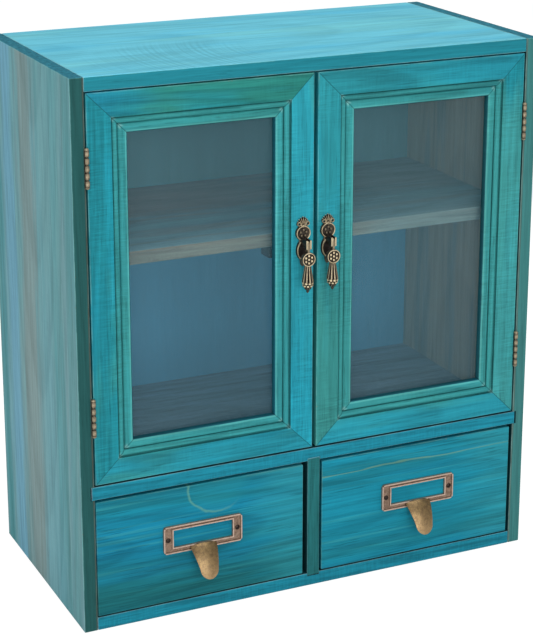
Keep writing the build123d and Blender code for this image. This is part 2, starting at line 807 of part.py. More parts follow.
def finger_tab():
    """Curved tongue under the label window, bulging outwards across its width and hollow behind."""
    steps = tab_stations - 1
    start = radians(tab_start_angle)
    end = radians(tab_end_angle)
    sections = []
    for i in range(tab_stations):
        angle = start + (end - start) * i / steps
        reach = tab_bend_radius * (cos(angle) - cos(start))
        drop = tab_root_drop + tab_bend_radius * (sin(start) - sin(angle))
        plane = Plane(origin=(0, -holder_plate / 2 - reach, -drop), x_dir=(1, 0, 0),
                      z_dir=(0, -sin(angle), -cos(angle)))
        outer = tab_crown + tab_thickness
        half = tab_half_width
        edges = [
            ThreePointArc((-half, tab_thickness), (0, outer), (half, tab_thickness)),
            Line((half, tab_thickness), (half, 0)),
            ThreePointArc((half, 0), (0, tab_crown), (-half, 0)),
            Line((-half, 0), (-half, tab_thickness)),
        ]
        sections.append(plane * make_face(edges))
    tongue = loft(sections)
    drop = tab_root_drop + tab_bend_radius * (sin(start) - sin(end))
    shoulder = -drop + tab_tip_radius
    outline = Pos(0, shoulder) * Circle(tab_tip_radius)
    outline += make_face(Polyline((-tab_half_width, 0), (tab_half_width, 0), (tab_tip_radius, shoulder),
                                  (-tab_tip_radius, shoulder), close=True))
    return tongue & extrude(Plane.XZ * outline, 2 * holder_width)


def label_pull():
    """Label holder with raised rims round its edge and window, two screw holes and a finger tab."""
    blank = RectangleRounded(holder_width, holder_height, holder_corner)
    hole = Pos(0, window_rise) * RectangleRounded(window_width, window_height, window_corner)
    rims = 2 * holder_rim_width
    inner_corner = holder_corner - holder_rim_width
    inner_blank = RectangleRounded(holder_width - rims, holder_height - rims, inner_corner)
    frame = Pos(0, window_rise) * RectangleRounded(window_width + rims, window_height + rims,
                                                   window_corner + holder_rim_width)
    pull = extrude(Plane.XZ * (blank - hole), holder_plate)
    pull += extrude(Plane.XZ * (blank - inner_blank), holder_plate + holder_rim_height)
    pull += extrude(Plane.XZ * (frame - hole), holder_plate + holder_rim_height)
    pull += finger_tab()
    for point in holder_screw_points():
        pull -= aimed(holder_screw_shank_blank(screw_gap), point, (0, -1, 0))
    return pull


# ------------------------------------------------------------------ the whole cabinet
def add(name, shape):
    """Keeps a piece under its own name."""
    parts[name] = shape


def add_carcass():
    """Boards, back, fixed hinge leaves, hinge pins and the catch."""
    left = side_panel()
    add("side_panel_left", left)
    add("side_panel_right", mirror(left, Plane.YZ))
    add("top_panel", end_board(ceiling_z))
    add("bottom_panel", bottom_board())
    add("middle_shelf", middle_shelf())
    add("inner_shelf", inner_shelf())
    add("drawer_divider", drawer_divider())
    add("back_panel", back_panel())
    leaf = hinge_leaf(-1, 0)
    pins = []
    screws = []
    screw = slotted(hinge_screw_blank(), hinge_screw_head)
    for level, height in hinge_heights.items():
        place = Pos(hinge_x, hinge_y, height)
        add("left_" + level + "_hinge_base", place * leaf)
        add("right_" + level + "_hinge_base", mirror(place * leaf, Plane.YZ))
        pins.append(place * hinge_pin())
        screws += [aimed(screw, point, (1, 0, 0)) for point in hinge_screw_points(-1, height)]
    add("hinge_pins", group(pins + [mirror(pin, Plane.YZ) for pin in pins]))
    add("hinge_base_screws", group(screws + [mirror(one, Plane.YZ) for one in screws]))
    add("magnetic_catch", magnetic_catch())
    add("catch_magnets", group([catch_magnet(-1), catch_magnet(1)]))
    catch_screw = slotted(catch_screw_blank(), catch_screw_head)
    add("catch_screws", group([aimed(catch_screw, point, (0, 0, -1)) for point in catch_screw_points()]))


def add_doors():
    """Both doors with their glass, hinges and drop pulls."""
    for name, piece in door_parts(pull_inset_left).items():
        add("left_door_" + name, piece)
    for name, piece in door_parts(pull_inset_right).items():
        add("right_door_" + name, mirror(piece, Plane.YZ))


def add_drawers():
    """Both drawers with their label pulls."""
    for name, piece in drawer_parts(-inner_x + left_drawer_gap).items():
        add("left_drawer_" + name, piece)
    for name, piece in drawer_parts(board / 2 + right_drawer_gap).items():
        add("right_drawer_" + name, piece)


add_carcass()
add_doors()
add_drawers()

os.makedirs("parts", exist_ok=True)
for name, shape in parts.items():
    export_step(shape, "parts/" + name + ".step")
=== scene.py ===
"""Small stained-wood thread cabinet: its fittings, its finishes and a plain studio.

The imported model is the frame. Sizes are in millimetres in the frame's own directions: +X is the right-hand side
seen from the front, +Y is the back and +Z is up. Pieces are turned into metres when they are finished.
"""

import json
import logging
import math
from collections.abc import Callable, Sequence
from dataclasses import dataclass, replace
from enum import Enum

import bmesh
import bpy
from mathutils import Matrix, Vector

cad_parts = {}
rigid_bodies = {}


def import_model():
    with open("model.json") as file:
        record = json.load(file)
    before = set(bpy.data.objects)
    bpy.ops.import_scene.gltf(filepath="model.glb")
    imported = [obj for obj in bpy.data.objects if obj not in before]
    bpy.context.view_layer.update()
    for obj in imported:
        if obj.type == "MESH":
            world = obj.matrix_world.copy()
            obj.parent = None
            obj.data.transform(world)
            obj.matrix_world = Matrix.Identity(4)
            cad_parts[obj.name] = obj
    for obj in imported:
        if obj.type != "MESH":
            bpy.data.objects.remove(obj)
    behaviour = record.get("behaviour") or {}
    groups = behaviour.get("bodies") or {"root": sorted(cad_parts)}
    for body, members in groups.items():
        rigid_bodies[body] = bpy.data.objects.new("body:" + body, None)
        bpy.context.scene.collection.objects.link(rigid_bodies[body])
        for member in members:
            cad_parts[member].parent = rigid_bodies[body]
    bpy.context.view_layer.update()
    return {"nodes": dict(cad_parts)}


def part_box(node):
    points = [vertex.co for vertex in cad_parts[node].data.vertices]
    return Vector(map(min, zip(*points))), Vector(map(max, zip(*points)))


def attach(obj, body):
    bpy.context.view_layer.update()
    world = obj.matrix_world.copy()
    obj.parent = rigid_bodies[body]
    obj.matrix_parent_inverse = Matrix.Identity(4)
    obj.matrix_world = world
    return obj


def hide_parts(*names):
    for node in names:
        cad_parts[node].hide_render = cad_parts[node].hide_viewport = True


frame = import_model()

MM = 0.001
LOG = logging.getLogger("cabinet")

Colour = tuple[float, float, float]
Point = tuple[float, float, float]
Socket = bpy.types.NodeSocket
Paint = Socket | Colour
Rings = tuple[tuple[float, float], ...]

WHITE: Colour = (1.0, 1.0, 1.0)
# Colour of the painted shade that darkens the wood in its own hollows.
PAINTED_HOLLOW_SHADE: Colour = (0.20, 0.27, 0.27)
END_GRAIN_STOPS = ((0.32, (0.40, 0.56, 0.60)), (0.66, WHITE))


class Side(Enum):
    """Left or right half of the cabinet, with the sign of its X."""

    LEFT = -1
    RIGHT = 1

    @property
    def word(self) -> str:
        """The side's name as it stands in piece names."""
        return self.name.lower()


class Grain(Enum):
    """Direction that a board's grain runs in, as the order of its along, across and through axes."""

    UPRIGHT = (2, 0, 1)
    UPRIGHT_SIDE = (2, 1, 0)
    LEVEL = (0, 2, 1)
    LEVEL_FLAT = (0, 1, 2)
    DEEP = (1, 2, 0)


def shade(red: int, green: int, blue: int) -> Colour:
    """Turns a screen colour from 0 to 255 into the linear colour that the shaders use.

    Args:
        red: Red, from 0 to 255.
        green: Green, from 0 to 255.
        blue: Blue, from 0 to 255.

    Returns:
        The linear colour.
    """
    def linear(part: int) -> float:
        """One part of the colour, made linear."""
        share = part / 255
        return share / 12.92 if share <= 0.04045 else ((share + 0.055) / 1.055) ** 2.4

    return linear(red), linear(green), linear(blue)


class Field:
    """A number that nodes work out at each place, with the arithmetic of plain numbers."""

    def __init__(self, nodes: "Nodes", socket: Socket) -> None:
        """Takes the socket that gives the number.

        Args:
            nodes: Where the nodes lie.
            socket: The socket.
        """
        self.nodes = nodes
        self.socket = socket

    def __add__(self, other: "Value") -> "Field":
        """Sum."""
        return self.nodes.math("ADD", self, other)

    def __sub__(self, other: "Value") -> "Field":
        """Difference."""
        return self.nodes.math("SUBTRACT", self, other)

    def __rsub__(self, other: float) -> "Field":
        """Difference from a plain number."""
        return self.nodes.math("SUBTRACT", other, self)

    def __mul__(self, other: "Value") -> "Field":
        """Product."""
        return self.nodes.math("MULTIPLY", self, other)

    def __truediv__(self, other: float) -> "Field":
        """Quotient."""
        return self.nodes.math("DIVIDE", self, other)

    def __abs__(self) -> "Field":
        """Size without the sign."""
        return self.nodes.math("ABSOLUTE", self)

    def least(self, other: "Value") -> "Field":
        """The smaller of two numbers."""
        return self.nodes.math("MINIMUM", self, other)

    def most(self, other: "Value") -> "Field":
        """The larger of two numbers."""
        return self.nodes.math("MAXIMUM", self, other)

    def hypot(self, other: "Field") -> "Field":
        """Distance that two distances at right angles span."""
        return self.nodes.math("SQRT", self * self + other * other)

    def ease(self, low: float, high: float, start: float = 0.0, end: float = 1.0) -> "Field":
        """Smooth step from one level to another."""
        return self.level(low, high, start, end, "SMOOTHSTEP")

    def level(self, low: float, high: float, start: float, end: float, kind: str = "LINEAR") -> "Field":
        """Change from one range to another, held at its ends."""
        node = self.nodes.node("MapRange", self, low, high, start, end, interpolation_type=kind)
        return Field(self.nodes, node.outputs[0])


Value = float | Field


class Nodes:
    """Adds and links the nodes of one tree."""

    def __init__(self, tree: bpy.types.NodeTree) -> None:
        """Empties the tree.

        Args:
            tree: The tree.
        """
        self.tree = tree
        tree.nodes.clear()

    def feed(self, socket: Socket, value: Value | Paint) -> None:
        """Links a socket or sets its value.

        Args:
            socket: Socket that takes the value.
            value: A number, a colour or a socket.
        """
        if isinstance(value, Field):
            value = value.socket
        if isinstance(value, bpy.types.NodeSocket):
            self.tree.links.new(value, socket)
        elif isinstance(value, tuple) and socket.type == "RGBA":
            socket.default_value = (*value, 1.0)
        else:
            socket.default_value = value

    def node(self, kind: str, *values: Value | Paint, **settings: object) -> bpy.types.Node:
        """Adds a node.

        Args:
            kind: The end of the node type's name.
            values: What its first sockets get, in their order.
            settings: Its own settings.

        Returns:
            The node.
        """
        node = self.tree.nodes.new(f"ShaderNode{kind}")
        for name, setting in settings.items():
            setattr(node, name, setting)
        for socket, value in zip(node.inputs, values):
            self.feed(socket, value)
        return node

    def math(self, operation: str, first: Value, second: Value = 0.0) -> Field:
        """One Math node on two values."""
        return Field(self, self.node("Math", first, second, operation=operation).outputs[0])

    def seen_straight(self) -> Field:
        """1 for what the camera sees straight or through glass, 0 for all other light."""
        path = self.node("LightPath").outputs
        return self.math("MAXIMUM", Field(self, path["Is Camera Ray"]), Field(self, path["Is Transmission Ray"]))

    def close(self, kind: str, share: Field, first: Socket, second: Socket) -> None:
        """Ends the tree with a mix of two shaders; kind is World or Material."""
        mix = self.node("MixShader", share, first, second)
        self.node(f"Output{kind}", mix.outputs[0])


class Desk(Nodes):
    """Lays out the nodes of one material."""

    def __init__(self, name: str) -> None:
        """Starts a material with one shader and the piece's own coordinates.

        Args:
            name: Name of the material.
        """
        self.material = bpy.data.materials.new(name)
        self.material.use_nodes = True
        super().__init__(self.material.node_tree)
        self.shader = self.node("BsdfPrincipled")
        self.node("OutputMaterial", self.shader.outputs["BSDF"])
        coordinates = self.node("TexCoord")
        scaled = self.node("VectorMath", coordinates.outputs["Object"], operation="SCALE")
        scaled.inputs["Scale"].default_value = 1 / MM
        self.place = scaled.outputs["Vector"]
        self.axes = self.parts(self.place)
        self.facing = self.parts(coordinates.outputs["Normal"])

    def parts(self, vector: Socket) -> tuple[Field, ...]:
        """The three parts of a vector."""
        return tuple(Field(self, part) for part in self.node("SeparateXYZ", vector).outputs)

    def joined(self, x: Value, y: Value, z: Value) -> Socket:
        """A vector from its three parts."""
        return self.node("CombineXYZ", x, y, z).outputs[0]

    def noise(self, vector: Socket, scale: float = 1.0, detail: float = 2.0, rough: float = 0.5) -> Field:
        """Noise from 0 to 1 at a place.

        Args:
            vector: The place.
            scale: Waves per unit.
            detail: Number of finer layers.
            rough: Weight of the finer layers.

        Returns:
            The noise.
        """
        node = self.node("TexNoise", vector)
        node.inputs["Scale"].default_value = scale
        node.inputs["Detail"].default_value = detail
        node.inputs["Roughness"].default_value = rough
        return Field(self, node.outputs["Fac"])

    def blend(self, share: Value, first: Value | Paint, second: Value | Paint, way: str = "MIX") -> Socket:
        """Mix of two colours.

        Args:
            share: Share of the second colour.
            first: First colour.
            second: Second colour.
            way: How the two are mixed.

        Returns:
            The colour.
        """
        node = self.node("Mix", share, data_type="RGBA", blend_type=way)
        self.feed(node.inputs[6], first)
        self.feed(node.inputs[7], second)
        return node.outputs[2]

    def ramp(self, value: Field, stops: Sequence[tuple[float, Colour]]) -> Socket:
        """Colour ramp over a value.

        Args:
            value: The value.
            stops: Places from 0 to 1, each with its colour.

        Returns:
            The colour.
        """
        node = self.node("ValToRGB", value)
        elements = node.color_ramp.elements
        while len(elements) < len(stops):
            elements.new(1.0)
        for element, (where, colour) in zip(elements, stops):
            element.position = where
            element.color = (*colour, 1.0)
        return node.outputs[0]

    def hollow(self, distance: float, samples: int = 8) -> Field:
        """How open the piece is at a place, from 0 in its own hollows to 1 on its open faces.

        Args:
            distance: How far the hollows are felt, in millimetres.
            samples: Rays per look.

        Returns:
            The openness.
        """
        node = self.node("AmbientOcclusion", only_local=True, samples=samples)
        node.inputs["Distance"].default_value = distance * MM
        return Field(self, node.outputs["AO"])

    def bump(self, height: Field, strength: float, distance: float) -> None:
        """Gives the shader a bumped surface.

        Args:
            height: Height of the bumps.
            strength: Their strength.
            distance: Height that 1 stands for, in millimetres.
        """
        node = self.node("Bump")
        node.inputs["Strength"].default_value = strength
        node.inputs["Distance"].default_value = distance * MM
        self.feed(node.inputs["Height"], height)
        self.tree.links.new(node.outputs["Normal"], self.shader.inputs["Normal"])

    def set(self, **sockets: Value | Paint) -> None:
        """Sets the shader's sockets; an underscore stands for a space in a socket's name."""
        for name, value in sockets.items():
            self.feed(self.shader.inputs[name.replace("_", " ")], value)


@dataclass(frozen=True)
class Fibre:
    """Noise that follows the grain: its pace along and across it per millimetre, and how it breaks up."""

    slow: float
    quick: float
    detail: float = 2.0
    rough: float = 0.5


SWAY = Fibre(0.007, 0.03)
BROAD = Fibre(0.0035, 0.06)
MIDDLE = Fibre(0.009, 0.20, 3.0, 0.6)
FINE = Fibre(0.030, 0.62, 3.0, 0.65)
DASHES = Fibre(0.075, 0.9)
SAW = Fibre(0.95, 0.07, 3.0, 0.6)
SAW_PATCH = Fibre(0.02, 0.05)
WANDER = Fibre(0.012, 0.12, 3.0, 0.6)
CLOUD = Fibre(0.012, 0.09, 3.0, 0.6)


@dataclass(frozen=True)
class Band:
    """Strip of a moulding with a colour of its own, between two distances from a plane; the sight edge's strip is
    painted shade.
    """

    axis: int
    origin: float
    sign: float
    start: float
    end: float
    colour: Colour


@dataclass(frozen=True)
class Wash:
    """Stain of another colour that comes in along one axis, from nothing at one place to its share at another.

    It lies on all the faces, or on those that look one way along the face axis.
    """

    axis: int
    start: float
    end: float
    colour: Colour
    share: float
    face: int = 1
    way: float = 0.0


@dataclass(frozen=True)
class Tint:
    """Broad streaks where the wood took another colour of stain, on the faces along one axis or on all."""

    colour: Colour
    share: float
    slow: float = 0.004
    quick: float = 0.03
    low: float = 0.48
    high: float = 0.66
    axis: int | None = None
    way: float = 0.0


@dataclass(frozen=True)
class Streak:
    """One long streak of another stain at a place of its own, on the faces that look along one axis."""

    axis: int
    place: float
    half_width: float
    colour: Colour
    share: float
    face: int
    way: float
    wander: float = 1.6


@dataclass(frozen=True)
class Knot:
    """Oval knot on the front of a board: its centre, half sizes and outline."""

    x: float
    z: float
    half_x: float
    half_z: float
    outline: Colour


@dataclass(frozen=True)
class SawArcs:
    """Faint round marks of a saw on the top of a board: the saw's centre, and where the marks show."""

    centre: tuple[float, float]
    patch: tuple[float, float]
    reach: float


@dataclass(frozen=True)
class StainedWood:
    """Softwood under a translucent stain: streaks, growth rings, saw marks, knots, worn edges with a painted
    highlight, and painted shade in its hollows.
    """

    name: str
    grain: Grain
    stain: Colour
    seed: float
    low: Point
    high: Point
    front: Colour | None = None
    top: Colour | None = None
    inner: Colour | None = None
    inner_way: float = 0.0
    tints: tuple[Tint, ...] = ()
    streaks: tuple[Streak, ...] = ()
    washes: tuple[Wash, ...] = ()
    contrast: float = 0.72
    sway: float = 4.0
    stretch: float = 1.0
    broad: float = 0.55
    middle: float = 0.55
    fine: float = 0.9
    dash: float = 0.22
    rings: float = 0.12
    ring_spacing: float = 5.0
    saw_marks: float = 0.30
    worn: float = 0.30
    pale: Colour = shade(132, 186, 182)
    raw: Colour = shade(128, 96, 66)
    mitre: Colour = shade(14, 62, 66)
    knot_stain: Colour = shade(34, 132, 140)
    bands: tuple[Band, ...] = ()
    mitre_ends: bool = False
    knots: tuple[Knot, ...] = ()
    arcs: SawArcs | None = None
    gloss: float = 0.08

    def material(self) -> bpy.types.Material:
        """Lays out the wood's nodes.

        Returns:
            The material.
        """
        desk = Desk(self.name)
        along, across, through = (desk.axes[i] for i in self.grain.value)
        along = along + 137.0 * self.seed
        sway = self._fibre(desk, (along, across, through), SWAY)
        wood = along, across + (sway - 0.5) * self.sway, through
        broad, middle, fine, dashes = (self._fibre(desk, wood, replace(fibre, slow=fibre.slow * self.stretch))
                                       for fibre in (BROAD, MIDDLE, FINE, DASHES))
        dash = dashes.ease(0.60, 0.72) * self.dash
        patch = self._fibre(desk, wood, SAW_PATCH).ease(0.30, 0.60)
        marks = (self._fibre(desk, wood, SAW) - 0.5) * patch * (1.7 * self.saw_marks)
        tone = self._sum((broad, self.broad), (middle, self.middle), (fine, self.fine))
        tone = tone - self._late_wood(wood) * self.rings - dash - marks
        if self.arcs is not None:
            tone = tone - self._arcs(desk)
        colour = self._tinted(desk, self._stain_colour(desk), wood)
        colour = self._washed(desk, self._streaked(desk, colour, wood), wood)
        colour = self._banded(desk, self._end_grain(desk, colour))
        spread = 0.5 * self.contrast
        colour = desk.blend(1.0, colour, tone.level(0.2, 0.8, 1.0 - spread, 1.0 + spread), "MULTIPLY")
        colour = self._knotted(desk, self._mitred(desk, colour))
        colour = self._worn_edges(desk, colour)
        # Painted shade: the wood darkens where ambient occlusion finds its own hollows and creases.
        dark = desk.blend(1.0, colour, PAINTED_HOLLOW_SHADE, "MULTIPLY")
        colour = desk.blend(desk.hollow(2.2).ease(0.25, 0.85), dark, colour)
        desk.bump(self._sum((middle, 0.5), (fine, 0.8)) - (marks * 0.8 + dash), 0.4, 0.3)
        desk.set(Base_Color=colour, Roughness=tone.ease(0.1, 0.9, 0.64, 0.50), Specular_IOR_Level=self.gloss)
        return desk.material

    def _fibre(self, desk: Desk, wood: tuple[Field, ...], fibre: Fibre) -> Field:
        """Noise along the grain, moved by the board's seed.

        Args:
            desk: Desk of the material.
            wood: Places along, across and through the grain.
            fibre: Kind of noise.

        Returns:
            The noise from 0 to 1.
        """
        along, across, through = wood
        place = desk.joined(along * fibre.slow, across * fibre.quick + 3.7 * self.seed, through * fibre.quick)
        return desk.noise(place, detail=fibre.detail, rough=fibre.rough)

    @staticmethod
    def _sum(*terms: tuple[Field, float]) -> Field:
        """One half plus several noises about their middle, each with its weight.

        Args:
            *terms: Noises with their weights.

        Returns:
            The sum.
        """
        total: Value = 0.5 - sum(weight for _, weight in terms) / 2
        for noise, weight in terms:
            total = noise * weight + total
        return total

    def _late_wood(self, wood: tuple[Field, ...]) -> Field:
        """Dark lines of the growth rings, whose axis leaves the board at a slight slant.

        Args:
            wood: Places along, across and through the grain.

        Returns:
            Darkness of the lines, from 0 to 1.
        """
        along, across, through = wood
        side = self.grain.value[1]
        centre = (self.low[side] + self.high[side]) / 2
        spread = across - (centre + 9.0 * math.sin(5.1 * self.seed))
        depth = through + 26.0 + along * 0.05
        turn = along.nodes.math("FRACT", spread.hypot(depth) / self.ring_spacing)
        return turn.ease(0.35, 0.88) * turn.ease(0.88, 1.0, 1.0, 0.0)

    def _arcs(self, desk: Desk) -> Field:
        """Darkness of the saw's round marks.

        Args:
            desk: Desk of the material.

        Returns:
            The darkness.
        """
        def reach(place: tuple[float, float]) -> Field:
            """Distance from a point of the board's plane."""
            return (desk.axes[0] - place[0]).hypot(desk.axes[1] - place[1])

        lines = desk.noise(desk.joined(reach(self.arcs.centre) * 0.42, 0.0, 0.0))
        shown = reach(self.arcs.patch).ease(0.3 * self.arcs.reach, self.arcs.reach, 0.30, 0.0)
        return lines.ease(0.40, 0.66) * (shown * self._seen(desk, 2, 1.0))

    def _stain_colour(self, desk: Desk) -> Paint:
        """The stain's colour, with other colours on the front, top and inner faces; on some boards these carry painted
        sheen and painted light.

        Args:
            desk: Desk of the material.

        Returns:
            The colour.
        """
        colour: Paint = self.stain
        for paint, axis, way, low in ((self.front, 1, -1.0, 0.55), (self.top, 2, 1.0, 0.55),
                                      (self.inner, 0, self.inner_way, 0.6)):
            if paint is not None:
                colour = desk.blend(self._seen(desk, axis, way, low), colour, paint)
        return colour

    @staticmethod
    def _seen(desk: Desk, axis: int, way: float, low: float = 0.6) -> Field:
        """Whether a face looks along an axis: one way, or both ways where the way is zero."""
        look = desk.facing[axis] * way if way else abs(desk.facing[axis])
        return look.ease(low, low + 0.25)

    def _tinted(self, desk: Desk, colour: Paint, wood: tuple[Field, ...]) -> Paint:
        """Broad streaks of other stains.

        Args:
            desk: Desk of the material.
            colour: Colour so far.
            wood: Places along, across and through the grain.

        Returns:
            The colour with the streaks.
        """
        along, across, through = wood
        for index, tint in enumerate(self.tints):
            fibre = Fibre(tint.slow, tint.quick, 3.0, 0.6)
            where = self._fibre(desk, (along + 310.0 * (index + 1), across, through), fibre)
            share = where.ease(tint.low, tint.high) * tint.share
            if tint.axis is not None:
                share = share * self._seen(desk, tint.axis, tint.way)
            colour = desk.blend(share, colour, tint.colour)
        return colour

    def _streaked(self, desk: Desk, colour: Paint, wood: tuple[Field, ...]) -> Paint:
        """Single streaks of other stains.

        Args:
            desk: Desk of the material.
            colour: Colour so far.
            wood: Places along, across and through the grain.

        Returns:
            The colour with the streaks.
        """
        wander = self._fibre(desk, wood, WANDER) - 0.5 if self.streaks else None
        for streak in self.streaks:
            half = streak.half_width
            off = desk.axes[streak.axis] - streak.place + wander * (streak.wander * half)
            share = abs(off).ease(0.35 * half, 1.1 * half, streak.share, 0.0)
            colour = desk.blend(share * self._seen(desk, streak.face, streak.way), colour, streak.colour)
        return colour

    def _washed(self, desk: Desk, colour: Paint, wood: tuple[Field, ...]) -> Paint:
        """Washes of other stains, each with a cloudy border.

        Args:
            desk: Desk of the material.
            colour: Colour so far.
            wood: Places along, across and through the grain.

        Returns:
            The colour with the washes.
        """
        drift = (self._fibre(desk, wood, CLOUD) - 0.5) * 1.2 if self.washes else None
        for wash in self.washes:
            run = desk.axes[wash.axis].level(wash.start, wash.end, 0.0, 1.0)
            share = (run + drift).ease(0.1, 0.9, 0.0, wash.share)
            if wash.way:
                share = share * self._seen(desk, wash.face, wash.way)
            colour = desk.blend(share, colour, wash.colour)
        return colour

    def _end_grain(self, desk: Desk, colour: Paint) -> Socket:
        """Darker, blotched faces across the grain, where the stain soaks in.

        Args:
            desk: Desk of the material.
            colour: Colour so far.

        Returns:
            The colour with the end grain.
        """
        blotch = desk.noise(desk.place, scale=0.30, detail=4)
        dark = desk.blend(1.0, colour, desk.ramp(blotch, END_GRAIN_STOPS), "MULTIPLY")
        return desk.blend(self._seen(desk, self.grain.value[0], 0.0), colour, dark)

    @staticmethod
    def _reach(desk: Desk, band: Band) -> Field:
        """Distance from a band's plane, counted inwards."""
        return (desk.axes[band.axis] - band.origin) * band.sign

    def _banded(self, desk: Desk, colour: Socket) -> Socket:
        """Strips of a moulding that took the stain differently, and the painted shade of the sight edge.

        Args:
            desk: Desk of the material.
            colour: Colour so far.

        Returns:
            The colour with the strips.
        """
        soft = 0.2
        for band in self.bands:
            reach = self._reach(desk, band)
            share = reach.ease(band.start - soft, band.start + soft)
            share = share * reach.ease(band.end - soft, band.end + soft, 1.0, 0.0)
            colour = desk.blend(share * 0.8, colour, band.colour)
        return colour

    def _mitred(self, desk: Desk, colour: Socket) -> Socket:
        """The dark line of each mitre, with a rubbed spot where it meets the bead.

        Args:
            desk: Desk of the material.
            colour: Colour so far.

        Returns:
            The colour with the mitres.
        """
        if not self.mitre_ends:
            return colour
        lengthwise = self.grain.value[0]
        reach = self._reach(desk, self.bands[0])
        for end, way in ((self.low[lengthwise], 1.0), (self.high[lengthwise], -1.0)):
            off = abs((desk.axes[lengthwise] - end) * way - reach)
            near = abs(reach - (self.bands[0].start + 0.8))
            spot = off.ease(0.8, 3.2, 0.5, 0.0) * near.ease(0.5, 1.5, 1.0, 0.0)
            colour = desk.blend(spot, colour, self.pale)
            colour = desk.blend(off.ease(0.10, 0.55, 0.75, 0.0), colour, self.mitre)
        return colour

    def _knotted(self, desk: Desk, colour: Socket) -> Socket:
        """Pale outline of a knot that the stain did not take, open on its right.

        Args:
            desk: Desk of the material.
            colour: Colour so far.

        Returns:
            The colour with the knots.
        """
        for knot in self.knots:
            over = (desk.axes[0] - knot.x) / knot.half_x
            up = (desk.axes[2] - knot.z) / knot.half_z
            wobble = desk.noise(desk.place, scale=0.08, detail=3)
            reach = over.hypot(up) + (wobble - 0.5) * 0.22
            ring = reach.ease(0.92, 0.98) * reach.ease(0.98, 1.05, 1.0, 0.0) * over.ease(-0.1, 0.8, 0.6, 0.0)
            colour = desk.blend(reach.ease(0.6, 1.2, 0.30, 0.0), colour, self.knot_stain)
            colour = desk.blend(ring, colour, knot.outline)
        return colour

    def _worn_edges(self, desk: Desk, colour: Socket) -> Socket:
        """Edges made lighter, partly by wear and partly as a painted highlight along the arrises, and through to the
        wood in a few spots.

        Args:
            desk: Desk of the material.
            colour: Colour so far.

        Returns:
            The colour with the worn edges.
        """
        x, y, z = ((axis - self.low[i]).least(self.high[i] - axis).most(0.0) for i, axis in enumerate(desk.axes))
        edge = x + y + z - x.least(y).least(z) - x.most(y).most(z)
        rub = desk.noise(desk.place, scale=0.07, detail=4, rough=0.65)
        share = edge.ease(0.25, 0.9, 1.0, 0.0) * rub.ease(0.35, 0.65, 0.15, 1.0)
        # Light lines along every edge: wear, and a painted highlight on the arrises.
        colour = desk.blend(share * self.worn, colour, self.pale)
        chip = desk.noise(desk.place, scale=0.21, detail=3, rough=0.7)
        bare = chip.ease(0.68, 0.74) * edge.ease(0.5, 1.1, 1.0, 0.0)
        return desk.blend(bare * min(1.0, 2.0 * self.worn), colour, self.raw)


@dataclass(frozen=True)
class PlainWood:
    """Bare softwood of the drawer boxes."""

    name: str
    grain: Grain
    seed: float
    deep: Colour = shade(168, 128, 84)
    light: Colour = shade(212, 176, 128)

    def material(self) -> bpy.types.Material:
        """Lays out the wood's nodes.

        Returns:
            The material.
        """
        desk = Desk(self.name)
        along, across, through = (desk.axes[i] for i in self.grain.value)
        along = along * 0.02 + self.seed
        streak = desk.noise(desk.joined(along, across * 0.5, through * 0.5), detail=5, rough=0.62)
        fibre = desk.noise(desk.joined(along, across * 3.0, through * 3.0))
        tone = streak * 0.75 + fibre * 0.25
        desk.bump(tone, 0.25, 0.2)
        desk.set(Base_Color=desk.ramp(tone, ((0.3, self.deep), (0.7, self.light))),
                 Roughness=tone.ease(0.3, 0.7, 0.8, 0.66), Specular_IOR_Level=0.25)
        return desk.material


@dataclass(frozen=True)
class AgedMetal:
    """Antiqued metal: a dark speckled patina, rubbed bright where the mesh's rub attribute says so."""

    name: str
    hollow: Colour
    face: Colour
    speckle: Colour
    rubbed: Colour
    reach: float
    grit_share: float = 0.5
    grit: float = 2.2
    roughness: tuple[float, float] = (0.30, 0.52)
    metallic: float = 0.7

    def material(self, piece: str) -> bpy.types.Material:
        """Lays out the metal's nodes.

        Args:
            piece: Word that sets this material's name apart.

        Returns:
            The material.
        """
        desk = Desk(f"{piece}_{self.name}")
        mottle = desk.noise(desk.place, scale=0.40, detail=4, rough=0.65)
        grit = desk.noise(desk.place, scale=self.grit, detail=3, rough=0.7)
        rub = desk.noise(desk.place, scale=0.35, detail=3)
        open_air = desk.hollow(self.reach, samples=12)
        marks = Field(desk, desk.node("Attribute", attribute_name="rub").outputs["Fac"])
        colour = desk.blend(mottle.ease(0.36, 0.66), self.face, self.speckle)
        colour = desk.blend(grit.ease(0.52, 0.70, 0.0, self.grit_share), colour, self.hollow)
        worn = marks * rub.ease(0.25, 0.55, 0.6, 1.0) * open_air.ease(0.30, 0.70, 0.35, 1.0)
        worn = worn * grit.ease(0.55, 0.78, 1.0, 0.55)
        colour = desk.blend(worn, colour, self.rubbed)
        colour = desk.blend(open_air.ease(0.15, 0.75), self.hollow, colour)
        desk.bump(grit + mottle, 0.3, 0.12)
        desk.set(Base_Color=colour, Roughness=(grit + mottle * 0.5).ease(0.5, 1.0, *self.roughness),
                 Metallic=self.metallic)
        return desk.material


@dataclass(frozen=True)
class PaneGlass:
    """Thin window glass with a faint grey-blue haze, made lighter as painted light over the view through it."""

    name: str
    haze: Colour = shade(76, 110, 122)
    cover: float = 0.26

    def material(self) -> bpy.types.Material:
        """Lays out the glass's nodes.

        Returns:
            The material.
        """
        desk = Desk(self.name)
        cloud = desk.noise(desk.place, scale=0.012, detail=3)
        # The haze colour is set lighter than the glass needs: painted light on the view through the pane.
        colour = desk.blend(cloud, tuple(0.86 * part for part in self.haze), self.haze)
        desk.set(Base_Color=colour, Roughness=cloud.ease(0.3, 0.7, 0.02, 0.04), Alpha=self.cover, IOR=1.45,
                 Specular_IOR_Level=0.25)
        return desk.material


